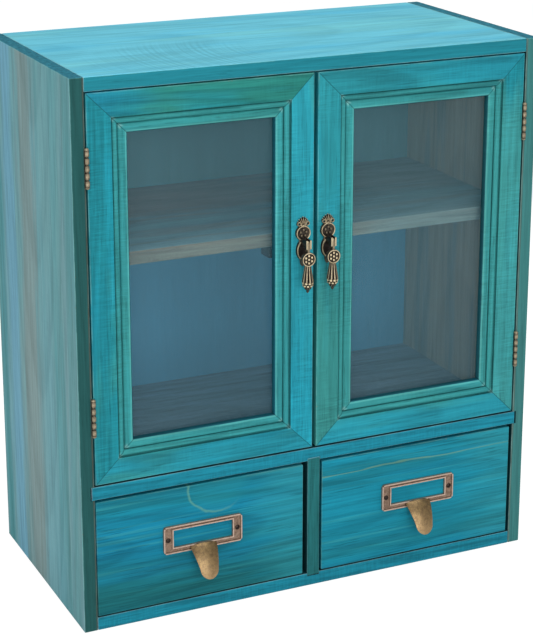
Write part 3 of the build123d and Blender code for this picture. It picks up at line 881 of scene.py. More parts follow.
@dataclass(frozen=True)
class PlainFinish:
    """Plain hidden fittings: moulded plastic, steel or ferrite, each with its own grain."""

    name: str
    dark: Colour
    light: Colour
    metallic: float = 0.0
    roughness: float = 0.5
    grain: float = 1.5

    def material(self) -> bpy.types.Material:
        """Lays out the finish's nodes.

        Returns:
            The material.
        """
        desk = Desk(self.name)
        grit = desk.noise(desk.place, scale=self.grain, detail=4, rough=0.6)
        desk.bump(grit, 0.15, 0.05)
        desk.set(Base_Color=desk.ramp(grit, ((0.3, self.dark), (0.7, self.light))),
                 Roughness=grit.ease(0.3, 0.7, self.roughness, self.roughness + 0.12), Metallic=self.metallic)
        return desk.material


class Work:
    """One mesh on the bench, in millimetres, shaped with the modelling operators."""

    def __init__(self, name: str) -> None:
        """Takes the primitive that has just been added.

        Args:
            name: Name of the piece.
        """
        self.thing = bpy.context.object
        self.thing.name = name
        self.thing.data.name = name
        bpy.ops.object.transform_apply(location=True, rotation=True, scale=True)
        bpy.ops.object.mode_set(mode="EDIT")
        bpy.ops.mesh.select_mode(type="VERT")
        bpy.ops.mesh.select_all(action="SELECT")

    @staticmethod
    def clear() -> None:
        """Deselects every object, so that an operator acts on the next piece alone."""
        for thing in bpy.context.scene.objects:
            thing.select_set(False)

    @classmethod
    def block(cls, name: str, low: Point, high: Point) -> "Work":
        """A block between two corners.

        Args:
            name: Name of the piece.
            low: Lowest corner.
            high: Highest corner.

        Returns:
            The work.
        """
        cls.clear()
        centre = [(a + b) / 2 for a, b in zip(low, high)]
        bpy.ops.mesh.primitive_cube_add(size=1, location=centre, scale=[b - a for a, b in zip(low, high)])
        return cls(name)

    @classmethod
    def disc(cls, name: str, radius: float, sides: int, centre: Point, turn: Point = (0, 0, 0)) -> "Work":
        """A flat filled disc, facing up before it is turned.

        Args:
            name: Name of the piece.
            radius: Radius.
            sides: Number of sides.
            centre: Centre.
            turn: Turns about X, Y and Z in degrees.

        Returns:
            The work.
        """
        cls.clear()
        bpy.ops.mesh.primitive_circle_add(vertices=sides, radius=radius, fill_type="NGON", location=centre,
                                          rotation=[math.radians(angle) for angle in turn])
        return cls(name)

    @classmethod
    def ball(cls, name: str, radius: float, centre: Point, segments: int = 12, rings: int = 8) -> "Work":
        """A round bead.

        Args:
            name: Name of the piece.
            radius: Radius.
            centre: Centre.
            segments: Steps round its axis.
            rings: Steps from pole to pole.

        Returns:
            The work.
        """
        cls.clear()
        bpy.ops.mesh.primitive_uv_sphere_add(segments=segments, ring_count=rings, radius=radius, location=centre)
        return cls(name)

    @classmethod
    def ring(cls, name: str, radius: float, wire: float, centre: Point, turn: Point = (90, 0, 0),
             sides: tuple[int, int] = (24, 8)) -> "Work":
        """A ring of round wire, lying in the front plane unless it is turned otherwise.

        Args:
            name: Name of the piece.
            radius: Radius of the ring.
            wire: Radius of the wire.
            centre: Centre.
            turn: Turns about X, Y and Z in degrees.
            sides: Steps round the ring and round the wire.

        Returns:
            The work.
        """
        cls.clear()
        bpy.ops.mesh.primitive_torus_add(major_radius=radius, minor_radius=wire, major_segments=sides[0],
                                         minor_segments=sides[1], location=centre,
                                         rotation=[math.radians(angle) for angle in turn])
        return cls(name)

    @classmethod
    def grid(cls, name: str, columns: int, rows: int) -> "Work":
        """A flat grid two units square, facing up.

        Args:
            name: Name of the piece.
            columns: Number of columns.
            rows: Number of rows.

        Returns:
            The work.
        """
        cls.clear()
        bpy.ops.mesh.primitive_grid_add(x_subdivisions=columns, y_subdivisions=rows, size=2)
        return cls(name)

    def pick(self, test: Callable[[Vector], bool], kind: str = "VERT") -> "Work":
        """Selects vertices, edges or faces by their place.

        Args:
            test: Whether something at a place is selected.
            kind: VERT, EDGE or FACE.

        Returns:
            The same work.
        """
        middle = {"VERT": lambda vertex: vertex.co,
                  "EDGE": lambda edge: (edge.verts[0].co + edge.verts[1].co) / 2,
                  "FACE": lambda face: face.calc_center_median()}[kind]
        return self._choose(kind, lambda part: test(middle(part)))

    def pick_facing(self, direction: Point, test: Callable[[Vector], bool] = lambda place: True) -> "Work":
        """Selects the faces that look in a direction and pass a test on their place.

        Args:
            direction: The direction.
            test: Whether a face's middle is in the right place.

        Returns:
            The same work.
        """
        ahead = Vector(direction)
        bmesh.from_edit_mesh(self.thing.data).normal_update()
        return self._choose("FACE", lambda face: face.normal.dot(ahead) > 0.9 and test(face.calc_center_median()))

    def _choose(self, kind: str, wanted: Callable[[object], bool]) -> "Work":
        """Selects the vertices, edges or faces that pass a test.

        Args:
            kind: VERT, EDGE or FACE.
            wanted: The test.

        Returns:
            The same work.
        """
        bpy.ops.mesh.select_mode(type=kind)
        bpy.ops.mesh.select_all(action="DESELECT")
        mesh = bmesh.from_edit_mesh(self.thing.data)
        for part in {"VERT": mesh.verts, "EDGE": mesh.edges, "FACE": mesh.faces}[kind]:
            part.select_set(wanted(part))
        mesh.select_flush_mode()
        bmesh.update_edit_mesh(self.thing.data)
        return self

    def extrude(self, x: float, y: float, z: float) -> "Work":
        """Extrudes what is selected."""
        bpy.ops.mesh.extrude_region_move(TRANSFORM_OT_translate={"value": (x, y, z)})
        return self

    def move(self, x: float, y: float, z: float) -> "Work":
        """Moves what is selected."""
        bpy.ops.transform.translate(value=(x, y, z))
        return self

    def scale(self, x: float, y: float, z: float, centre: Point) -> "Work":
        """Scales what is selected about a point."""
        bpy.ops.transform.resize(value=(x, y, z), center_override=centre)
        return self

    def turn(self, degrees: float, axis: str, centre: Point) -> "Work":
        """Turns what is selected about an axis by the right-hand rule."""
        bpy.ops.transform.rotate(value=-math.radians(degrees), orient_axis=axis, center_override=centre)
        return self

    def inset(self, width: float) -> "Work":
        """Insets the selected faces."""
        bpy.ops.mesh.inset(thickness=width, use_even_offset=True)
        return self

    def bevel(self, width: float, segments: int = 2) -> "Work":
        """Bevels the selected edges."""
        bpy.ops.mesh.bevel(offset=width, segments=segments, affect="EDGES")
        return self

    def cut(self, place: Point, normal: Point, keep: str = "BOTH") -> "Work":
        """Cuts the whole piece along a plane; keep is BOTH, or BELOW the plane with the cut closed.

        Args:
            place: A point of the plane.
            normal: The plane's normal.
            keep: BOTH sides, or only BELOW with the cut closed.

        Returns:
            The same work.
        """
        bpy.ops.mesh.select_all(action="SELECT")
        below = keep == "BELOW"
        bpy.ops.mesh.bisect(plane_co=place, plane_no=normal, use_fill=below, clear_outer=below)
        return self

    def bridge_openings(self) -> "Work":
        """Joins the rims of two openings with a wall.

        Returns:
            The same work.
        """
        bpy.ops.mesh.select_mode(type="EDGE")
        bpy.ops.mesh.select_all(action="DESELECT")
        bpy.ops.mesh.select_non_manifold(extend=False, use_wire=False, use_multi_face=False,
                                         use_non_contiguous=False, use_verts=False)
        bpy.ops.mesh.bridge_edge_loops()
        return self.everything()

    def everything(self) -> "Work":
        """Selects the whole piece."""
        bpy.ops.mesh.select_all(action="SELECT")
        return self

    def modifier(self, kind: str, **settings: object) -> "Work":
        """Adds a modifier and applies it at once.

        Args:
            kind: The modifier's type.
            **settings: Its settings.

        Returns:
            The same work.
        """
        bpy.ops.object.mode_set(mode="OBJECT")
        modifier = self.thing.modifiers.new("finish", kind)
        for name, value in settings.items():
            setattr(modifier, name, value)
        bpy.ops.object.modifier_apply(modifier=modifier.name)
        bpy.ops.object.mode_set(mode="EDIT")
        return self

    def soften(self, width: float, segments: int, angle: float) -> "Work":
        """Rounds the edges that turn by more than an angle in degrees."""
        return self.modifier("BEVEL", width=width, segments=segments, limit_method="ANGLE",
                             angle_limit=math.radians(angle))

    def copy(self, name: str) -> "Work":
        """A second piece of the same shape, with a mesh of its own.

        Args:
            name: The copy's name.

        Returns:
            The copy.
        """
        bpy.ops.object.mode_set(mode="OBJECT")
        twin = self.thing.copy()
        twin.data = self.thing.data.copy()
        bpy.context.scene.collection.objects.link(twin)
        self.take(twin)
        return Work(name)

    @classmethod
    def take(cls, thing: bpy.types.Object) -> None:
        """Makes one object the only selected and the active one.

        Args:
            thing: The object.
        """
        cls.clear()
        thing.select_set(True)
        bpy.context.view_layer.objects.active = thing

    def rest(self) -> "Work":
        """Leaves edit mode, so that another piece can be worked on.

        Returns:
            The same work.
        """
        if bpy.context.mode != "OBJECT":
            bpy.ops.object.mode_set(mode="OBJECT")
        return self

    def join(self, others: Sequence["Work"]) -> "Work":
        """Joins other pieces to this one.

        Args:
            others: The other pieces.

        Returns:
            The same work.
        """
        self.rest()
        self.take(self.thing)
        for other in others:
            other.thing.select_set(True)
        bpy.ops.object.join()
        bpy.ops.object.mode_set(mode="EDIT")
        return self.everything()

    def profile(self, steps: Sequence[tuple[float, float]], start: float, axis: int, centre: Point) -> "Work":
        """Builds a turned form from a filled disc, ring by ring.

        Args:
            steps: Radius and distance along the axis of each ring after the disc.
            start: Radius of the disc, which lies at distance zero.
            axis: 0, 1 or 2 for the turning axis; along Y the distance counts towards the front.
            centre: A point on the axis.

        Returns:
            The same work, closed at both ends.
        """
        radius, reach = start, 0.0
        way = -1.0 if axis == 1 else 1.0
        for next_radius, next_reach in steps:
            step = [0.0, 0.0, 0.0]
            step[axis] = way * (next_reach - reach)
            self.extrude(*step)
            ratio = next_radius / radius
            size = [1.0 if i == axis else ratio for i in range(3)]
            self.scale(*size, centre)
            radius, reach = next_radius, next_reach
        return self

    def finish(self, place: Point = (0, 0, 0), merge: float = 0.0005, soft_angle: float = 38.0) -> "Work":
        """Closes the mesh, turns its faces outwards and puts it in the cabinet, in metres.

        Args:
            place: Where the piece's own origin goes, in millimetres.
            merge: Distance within which doubles are merged, in millimetres.
            soft_angle: Angle in degrees below which neighbouring faces are shaded smooth.

        Returns:
            The same work.
        """
        if bpy.context.mode != "EDIT_MESH":
            bpy.ops.object.mode_set(mode="EDIT")
        self.everything()
        bpy.ops.mesh.remove_doubles(threshold=merge)
        bpy.ops.mesh.normals_make_consistent(inside=False)
        bpy.ops.object.mode_set(mode="OBJECT")
        self.take(self.thing)
        self.thing.scale = (MM, MM, MM)
        self.thing.location = [part * MM for part in place]
        bpy.ops.object.transform_apply(location=True, rotation=True, scale=True)
        bpy.ops.object.shade_smooth_by_angle(angle=math.radians(soft_angle))
        return self

    def rub(self, share: float, test: Callable[[Vector], bool] = lambda place: True) -> "Work":
        """Marks how far the vertices that pass a test are rubbed bright, from 0 to 1.

        Args:
            share: The share.
            test: Whether a vertex's place is rubbed.

        Returns:
            The same work.
        """
        self.rest()
        mesh = self.thing.data
        marks = mesh.attributes.get("rub") or mesh.attributes.new("rub", "FLOAT", "POINT")
        for vertex in mesh.vertices:
            if test(vertex.co):
                marks.data[vertex.index].value = share
        return self

    def coat(self, material: bpy.types.Material) -> "Work":
        """Gives the piece its finish."""
        self.thing.data.materials.append(material)
        return self

    def fit(self, name: str, body: str, slot: str, *nodes: str) -> bpy.types.Object:
        """Names the finished piece and sets it on its body.

        Args:
            name: Name of the piece.
            body: Body that it moves with.
            slot: The record's material slot; not used.
            nodes: CAD nodes that it stands for.

        Returns:
            The piece.
        """
        self.thing.name = name
        self.thing.data.name = name
        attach(self.thing, body)
        if nodes:
            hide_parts(*nodes)
        LOG.info("%s: %d faces on %s", self.thing.name, len(self.thing.data.polygons), body)
        return self.thing


def corners(node: str) -> tuple[Point, Point]:
    """Lowest and highest corner of a CAD node in millimetres."""
    low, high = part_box(node)
    return tuple(part / MM for part in low), tuple(part / MM for part in high)


def front_of(node: str) -> float:
    """Place of a CAD node's front along Y in millimetres."""
    return corners(node)[0][1]


def dress(node: str, material: bpy.types.Material) -> None:
    """Gives a CAD node its finish.

    Args:
        node: Name of the node.
        material: The finish.
    """
    for slot in frame["nodes"][node].material_slots:
        slot.material = material
    LOG.info("%s: dressed in %s", node, material.name)


@dataclass(frozen=True)
class Metals:
    """The finishes of all the metal fittings."""

    brass: AgedMetal = AgedMetal("label_brass", hollow=shade(48, 34, 27), face=shade(138, 112, 94),
                                 speckle=shade(104, 80, 62), rubbed=shade(206, 178, 160), reach=1.4,
                                 grit_share=0.8, grit=1.25)
    tab: AgedMetal = AgedMetal("finger_tab_brass", hollow=shade(58, 44, 28), face=shade(132, 110, 72),
                               speckle=shade(96, 78, 52), rubbed=shade(196, 162, 120), reach=1.5,
                               grit_share=0.8, grit=1.25)
    bronze: AgedMetal = AgedMetal("pull_bronze", hollow=shade(10, 8, 8), face=shade(42, 33, 28),
                                  speckle=shade(25, 19, 17), rubbed=shade(214, 196, 160), reach=1.1,
                                  grit_share=0.4, roughness=(0.34, 0.52), metallic=0.55)
    hinge: AgedMetal = AgedMetal("hinge_metal", hollow=shade(18, 13, 11), face=shade(74, 62, 50),
                                 speckle=shade(44, 36, 29), rubbed=shade(164, 150, 124), reach=1.0,
                                 grit_share=0.9, grit=1.3, metallic=0.5)
    screw: AgedMetal = AgedMetal("screw_metal", hollow=shade(18, 14, 13), face=shade(58, 46, 40),
                                 speckle=shade(38, 30, 27), rubbed=shade(150, 126, 108), reach=0.8)
    steel: PlainFinish = PlainFinish("plain_steel", shade(120, 120, 122), shade(168, 168, 170), metallic=0.9,
                                     roughness=0.3)
    plastic: PlainFinish = PlainFinish("black_plastic", shade(20, 20, 22), shade(34, 34, 36))
    ferrite: PlainFinish = PlainFinish("ferrite", shade(46, 46, 50), shade(70, 70, 74), roughness=0.6)


@dataclass
class Carcass:
    """The fixed boards of the cabinet."""

    # The outer side's stain, greyed by a painted sheen.
    side_face: Colour = shade(102, 152, 158)
    side_front_left: Colour = shade(32, 79, 78)
    side_front_right: Colour = shade(57, 116, 115)
    side_top: Colour = shade(36, 120, 138)
    # The top's stain, lightened by a painted sheen.
    top_face: Colour = shade(98, 184, 204)
    top_front: Colour = shade(28, 118, 132)
    shelf_front: Colour = shade(24, 122, 142)
    floor_face: Colour = shade(146, 172, 186)
    divider_front: Colour = shade(30, 94, 96)
    # Inner faces stained lighter to stand in for light: painted light on the dim inside behind the glass.
    inner_face: Colour = shade(160, 210, 222)
    inner_side: Colour = shade(216, 200, 174)
    inner_edge: Colour = shade(150, 158, 144)
    back_face: Colour = shade(108, 200, 244)
    back_outside: Colour = shade(92, 142, 148)
    blue: Colour = shade(104, 160, 186)
    teal: Colour = shade(44, 128, 134)
    grey: Colour = shade(128, 140, 136)
    # Painted shade for the faces beside the doors and drawers.
    gap: Colour = shade(16, 58, 64)
    seam: Colour = shade(84, 66, 50)

    def _rebate(self, front: float, face: int, way: float) -> Streak:
        """Painted shade where a board's inner face stands beside a door or a drawer front, dark as the shadow in the
        gap there.

        Args:
            front: Place of the board's front edge along Y.
            face: Axis that the stained face looks along.
            way: Which way it looks.

        Returns:
            The band.
        """
        return Streak(1, front + 5.0, 11.0, self.gap, 1.0, face, way, wander=0.0)

    def boards(self) -> list[StainedWood]:
        """The finish of each board, named after its node.

        Returns:
            The finishes.
        """
        front, back = (corner[1] for corner in corners("side_panel_left"))
        depth = back - front
        below = -500.0
        plans = []
        for side, seed, post in ((Side.LEFT, 1.0, self.side_front_left), (Side.RIGHT, 2.0, self.side_front_right)):
            out = float(side.value)
            tints = (Tint(self.blue, 0.2, 0.0014, 0.022, 0.48, 0.64, 0, out),
                     Tint(self.grey, 0.25, 0.0018, 0.018, 0.46, 0.62, 0, out),
                     Tint(self.teal, 0.35, 0.003, 0.05, 0.52, 0.66, 0, out),
                     Tint(shade(150, 176, 174), 0.6, 0.003, 0.04, 0.5, 0.62, 0, -out))
            streaks = tuple(Streak(1, front + share * depth, half, colour, strength, 0, out)
                            for share, half, colour, strength in (
                                (0.94, 9.0, self.teal, 0.6), (0.79, 15.0, self.blue, 0.7),
                                (0.56, 23.0, shade(124, 140, 138), 0.65), (0.36, 14.0, shade(110, 156, 160), 0.35),
                                (0.20, 14.0, shade(74, 142, 146), 0.35), (0.06, 9.0, shade(80, 138, 142), 0.6)))
            edge = corners(f"side_panel_{side.word}")[1 if side is Side.LEFT else 0][0]
            streaks += (Streak(0, edge + 0.6 * out, 0.9, self.seam, 0.45, 1, -1.0), self._rebate(front, 0, -out))
            plans.append((f"side_panel_{side.word}", Grain.UPRIGHT_SIDE, seed, self.side_face, post, self.side_top,
                          {"tints": tints, "streaks": streaks, "fine": 0.8, "broad": 0.2, "saw_marks": 0.08,
                           "contrast": 0.5, "sway": 1.2, "stretch": 0.6, "inner": self.inner_side,
                           "inner_way": -out}))
        _, shelf_front, shelf_foot = corners("inner_shelf")[0]
        plans += [
            ("top_panel", Grain.LEVEL_FLAT, 3.0, self.inner_face, self.top_front, self.top_face,
             {"tints": (Tint(shade(78, 176, 208), 0.6, axis=2), Tint(shade(116, 194, 196), 0.4, axis=2)),
              "contrast": 0.42, "stretch": 0.7,
              "arcs": SawArcs((70.0, -50.0), (-85.0, -62.0), 85.0), "saw_marks": 0.06}),
            ("bottom_panel", Grain.LEVEL_FLAT, 4.0, self.floor_face, self.shelf_front, self.floor_face,
             {"worn": 0.1, "streaks": (self._rebate(front_of("bottom_panel"), 2, 1.0),)}),
            ("middle_shelf", Grain.LEVEL_FLAT, 5.0, self.floor_face, self.shelf_front, self.floor_face,
             {"worn": 0.15, "streaks": (self._rebate(front_of("middle_shelf"), 2, 1.0),)}),
            ("inner_shelf", Grain.LEVEL_FLAT, 6.0, self.inner_face, self.inner_edge, self.inner_face,
             {"tints": (Tint(shade(188, 166, 148), 0.5, 0.003, 0.05, axis=2),
                        Tint(shade(168, 142, 112), 0.55, 0.004, 0.2, axis=1)),
              "washes": (Wash(1, shelf_front + 55, shelf_front + 95, shade(196, 162, 146), 0.95),
                         Wash(0, -20.0, 90.0, shade(150, 190, 192), 0.6)),
              "contrast": 0.6}),
            ("drawer_divider", Grain.UPRIGHT, 7.0, self.inner_face, self.divider_front, None,
             {"worn": 0.1, "streaks": tuple(self._rebate(front_of("drawer_divider"), 0, way) for way in (-1.0, 1.0))}),
            ("back_panel", Grain.UPRIGHT, 8.0, self.back_outside, None, None,
             {"rings": 0.0, "saw_marks": 0.0, "contrast": 0.16,
              "washes": (Wash(2, below - 100.0, below, self.back_face, 1.0, 1, -1.0),
                         Wash(2, shelf_foot - 15, shelf_foot + 15, shade(114, 178, 188), 1.0, 1, -1.0))}),
        ]
        return [StainedWood(node, grain, stain, seed, *corners(node), front=front, top=top, **extra)
                for node, grain, seed, stain, front, top, extra in plans]

    def build(self, metals: Metals) -> None:
        """Dresses the boards and the catch.

        Args:
            metals: Finishes of the fittings.
        """
        for wood in self.boards():
            dress(wood.name, wood.material())
        dress("magnetic_catch", metals.plastic.material())
        dress("catch_magnets", metals.ferrite.material())
        dress("catch_screws", metals.steel.material())


@dataclass
class Door:
    """A mitred door: its stained frame and glass, and what holds them."""

    side: Side
    frame_width: float = 27.0
    bead_start: float = 17.5
    bead_end: float = 25.2
    stile: Colour = shade(26, 122, 134)
    rail: Colour = shade(38, 120, 112)
    right_rail: Colour = shade(36, 126, 136)
    bottom: Colour = shade(32, 130, 146)
    meeting: Colour = shade(38, 142, 157)
    right_meeting: Colour = shade(38, 132, 142)
    bead: Colour = shade(54, 138, 138)
    # Painted shade: the sight edge, the bead's inner wall and the glass stops face into the dim gap by the glass.
    sight: Colour = shade(14, 58, 72)
    crest: Colour = shade(80, 160, 156)
    green: Colour = shade(58, 134, 120)
    bright: Colour = shade(28, 140, 162)
    strip_start: float = 22.9
    strip_steps: tuple[tuple[float, float], ...] = ((0.7, -0.7), (1.3, -0.4), (1.3, -0.15), (1.2, 0.05),
                                                    (1.2, 0.15), (0.8, 0.65))
    crest_start: float = 27.6
    crest_end: float = 28.9
    strip_face: float = 3.0
    strip_seat: float = 6.9

    def _outer(self, member: str) -> tuple[int, float, float]:
        """Axis, origin and sign that measure from a member's outer edge towards the glass.

        Args:
            member: Last words of the member's node name.

        Returns:
            The axis, origin and sign.
        """
        low, high = corners(f"{self.side.word}_door_{member}")
        inward = -self.side.value
        return {
            "hinge_stile": (0, low[0] if inward > 0 else high[0], inward),
            "meeting_stile": (0, high[0] if inward > 0 else low[0], -inward),
            "top_rail": (2, high[2], -1.0),
            "bottom_rail": (2, low[2], 1.0),
        }[member]

    def frame_finish(self, member: str, seed: float) -> StainedWood:
        """The stain of one frame member, with its bead and the painted shade of its sight edge.

        Args:
            member: Last words of the member's node name.
            seed: Number that sets its grain apart.

        Returns:
            The finish.
        """
        node = f"{self.side.word}_door_{member}"
        axis, origin, sign = self._outer(member)
        left = self.side is Side.LEFT
        stain = {"top_rail": self.rail if left else self.right_rail, "bottom_rail": self.bottom,
                 "hinge_stile": self.stile, "meeting_stile": self.meeting if left else self.right_meeting}[member]
        # The strip from the bead to the inner edge takes the sight colour as painted shade.
        bands = (Band(axis, origin, sign, self.bead_start, self.bead_end, self.bead),
                 Band(axis, origin, sign, self.bead_end, self.frame_width + 1, self.sight))
        tints = (Tint(self.green, 0.45, 0.006, 0.03, 0.50, 0.66), Tint(self.bright, 0.5, 0.005, 0.03))
        if left:
            plans = {"top_rail": Wash(0, -90.0, -169.0, shade(24, 124, 150), 0.8),
                     "meeting_stile": Wash(2, 240.0, 150.0, shade(30, 148, 170), 0.6)}
        else:
            plans = {"hinge_stile": Wash(2, 380.0, 330.0, shade(62, 142, 140), 0.7),
                     "meeting_stile": Wash(2, 300.0, 200.0, shade(52, 124, 118), 0.8),
                     "top_rail": Wash(0, 0.0, 170.0, shade(30, 136, 156), 0.6)}
        washes = (plans[member],) if member in plans else ()
        rail = member.endswith("rail")
        return StainedWood(node, Grain.LEVEL if rail else Grain.UPRIGHT, stain, seed, *corners(node), bands=bands,
                           tints=tints, washes=washes, mitre_ends=True, rings=0.16 if rail else 0.06,
                           stretch=0.75, saw_marks=0.15 if rail else 0.45, broad=0.4, fine=0.65, worn=0.35)

    def _sight_bead(self, finishes: Sequence[StainedWood]) -> None:
        """Lays the mitred inner bead over the frame's own, up to the sight edge in front of the glass.

        Args:
            finishes: Finishes of the hinge stile, top rail, meeting stile and bottom rail.
        """
        word = self.side.word
        low = [min(wood.low[i] for wood in finishes) for i in range(3)]
        high = [max(wood.high[i] for wood in finishes) for i in range(3)]
        start, face = self.strip_start, low[1]
        seat = face + self.strip_seat
        work = Work.block("sight_bead", (low[0] + start, face + self.strip_face, low[2] + start),
                          (high[0] - start, seat, high[2] - start))
        work.pick_facing((0, -1, 0))
        depth = self.strip_face
        for width, fall in self.strip_steps:
            work.inset(width).move(0, fall, 0)
            depth += fall
        work.extrude(0, self.strip_seat - depth, 0)
        work.pick(lambda p: abs(p.y - seat) < 0.01, "FACE")
        bpy.ops.mesh.delete(type="FACE")
        work.bridge_openings().soften(0.25, 3, 25)
        work.finish()
        for wood in finishes:
            edge = wood.bands[0]
            # The bead's inner wall by the glass takes the sight colour as painted shade.
            bands = (replace(edge, start=start, end=self.crest_start),
                     replace(edge, start=self.crest_start, end=self.crest_end, colour=self.crest),
                     replace(edge, start=self.crest_end, end=self.crest_end + 2.0, colour=self.sight))
            work.coat(replace(wood, name=f"{wood.name}_bead", bands=bands).material())
        order = (0, 1, 2, 3) if self.side is Side.LEFT else (2, 1, 0, 3)
        for face in work.thing.data.polygons:
            x, z = face.center.x / MM, face.center.z / MM
            gaps = (x - low[0], high[2] - z, high[0] - x, z - low[2])
            face.material_index = order[gaps.index(min(gaps))]
        work.fit(f"{word}_door_sight_bead", f"{word}_door", "door_wood")

    def build(self, metals: Metals) -> None:
        """Dresses the frame, glass and hidden fittings.

        Args:
            metals: Finishes of the fittings.
        """
        word = self.side.word
        finishes = []
        for i, member in enumerate(("hinge_stile", "top_rail", "meeting_stile", "bottom_rail")):
            seed = 10.0 + i + (5.0 if self.side is Side.RIGHT else 0.0)
            finishes.append(self.frame_finish(member, seed))
            dress(f"{word}_door_{member}", finishes[i].material())
        self._sight_bead(finishes)
        stops = f"{word}_door_glass_stops"
        # The glass stops take the sight colour as painted shade.
        dress(stops, StainedWood(stops, Grain.UPRIGHT, self.sight, 31.0, *corners(stops), worn=0.0).material())
        dress(f"{word}_door_glass_pane", PaneGlass(f"{word}_pane_glass").material())
        dress(f"{word}_door_strike_plate", metals.steel.material())
        dress(f"{word}_door_pull_nut", metals.steel.material())


@dataclass
class Drawer:
    """A drawer: its stained front and its bare box."""

    side: Side
    left_front: Colour = shade(18, 119, 140)
    right_front: Colour = shade(20, 127, 149)
    green: Colour = shade(24, 90, 88)
    bright: Colour = shade(12, 120, 160)

    def build(self, metals: Metals) -> None:
        """Dresses the drawer's boards.

        Args:
            metals: Finishes of the fittings.
        """
        word = self.side.word
        node = f"{word}_drawer_front"
        low, high = corners(node)
        left = self.side is Side.LEFT
        front = self.left_front if left else self.right_front
        knots = (Knot(low[0] + 93, high[2] - 2, 24, 22, shade(92, 150, 132)),) if left else ()
        washes = (Wash(2, high[2] - 38, low[2], self.green, 0.65 if left else 0.1),
                  Wash(0, high[0] - 60, high[0], shade(44, 136, 146), 0.5))
        tints = (Tint(self.green, 0.3, 0.003, 0.05, 0.50, 0.62), Tint(self.bright, 0.4, 0.003, 0.04),
                 Tint(shade(18, 98, 118), 0.45, 0.005, 0.16, 0.54, 0.64),
                 Tint(shade(58, 148, 150), 0.35, 0.005, 0.32, 0.58, 0.68))
        lines = () if left else (Streak(2, high[2] - 13, 0.8, shade(112, 148, 112), 0.5, 1, -1.0, 11.0),)
        wood = StainedWood(node, Grain.LEVEL, front, 20.0 + self.side.value, low, high, knots=knots,
                           tints=tints, streaks=lines, washes=washes, rings=0.14, saw_marks=0.05, broad=0.3,
                           contrast=0.62, sway=3.0, stretch=0.45, dash=0.36, pale=shade(112, 156, 136))
        dress(node, wood.material())
        for i, wall in enumerate(("left_wall", "right_wall", "back_wall", "bottom")):
            grain = Grain.DEEP if i < 2 else Grain.LEVEL
            dress(f"{word}_drawer_{wall}", PlainWood(f"{word}_{wall}_wood", grain, 3.0 * i).material())


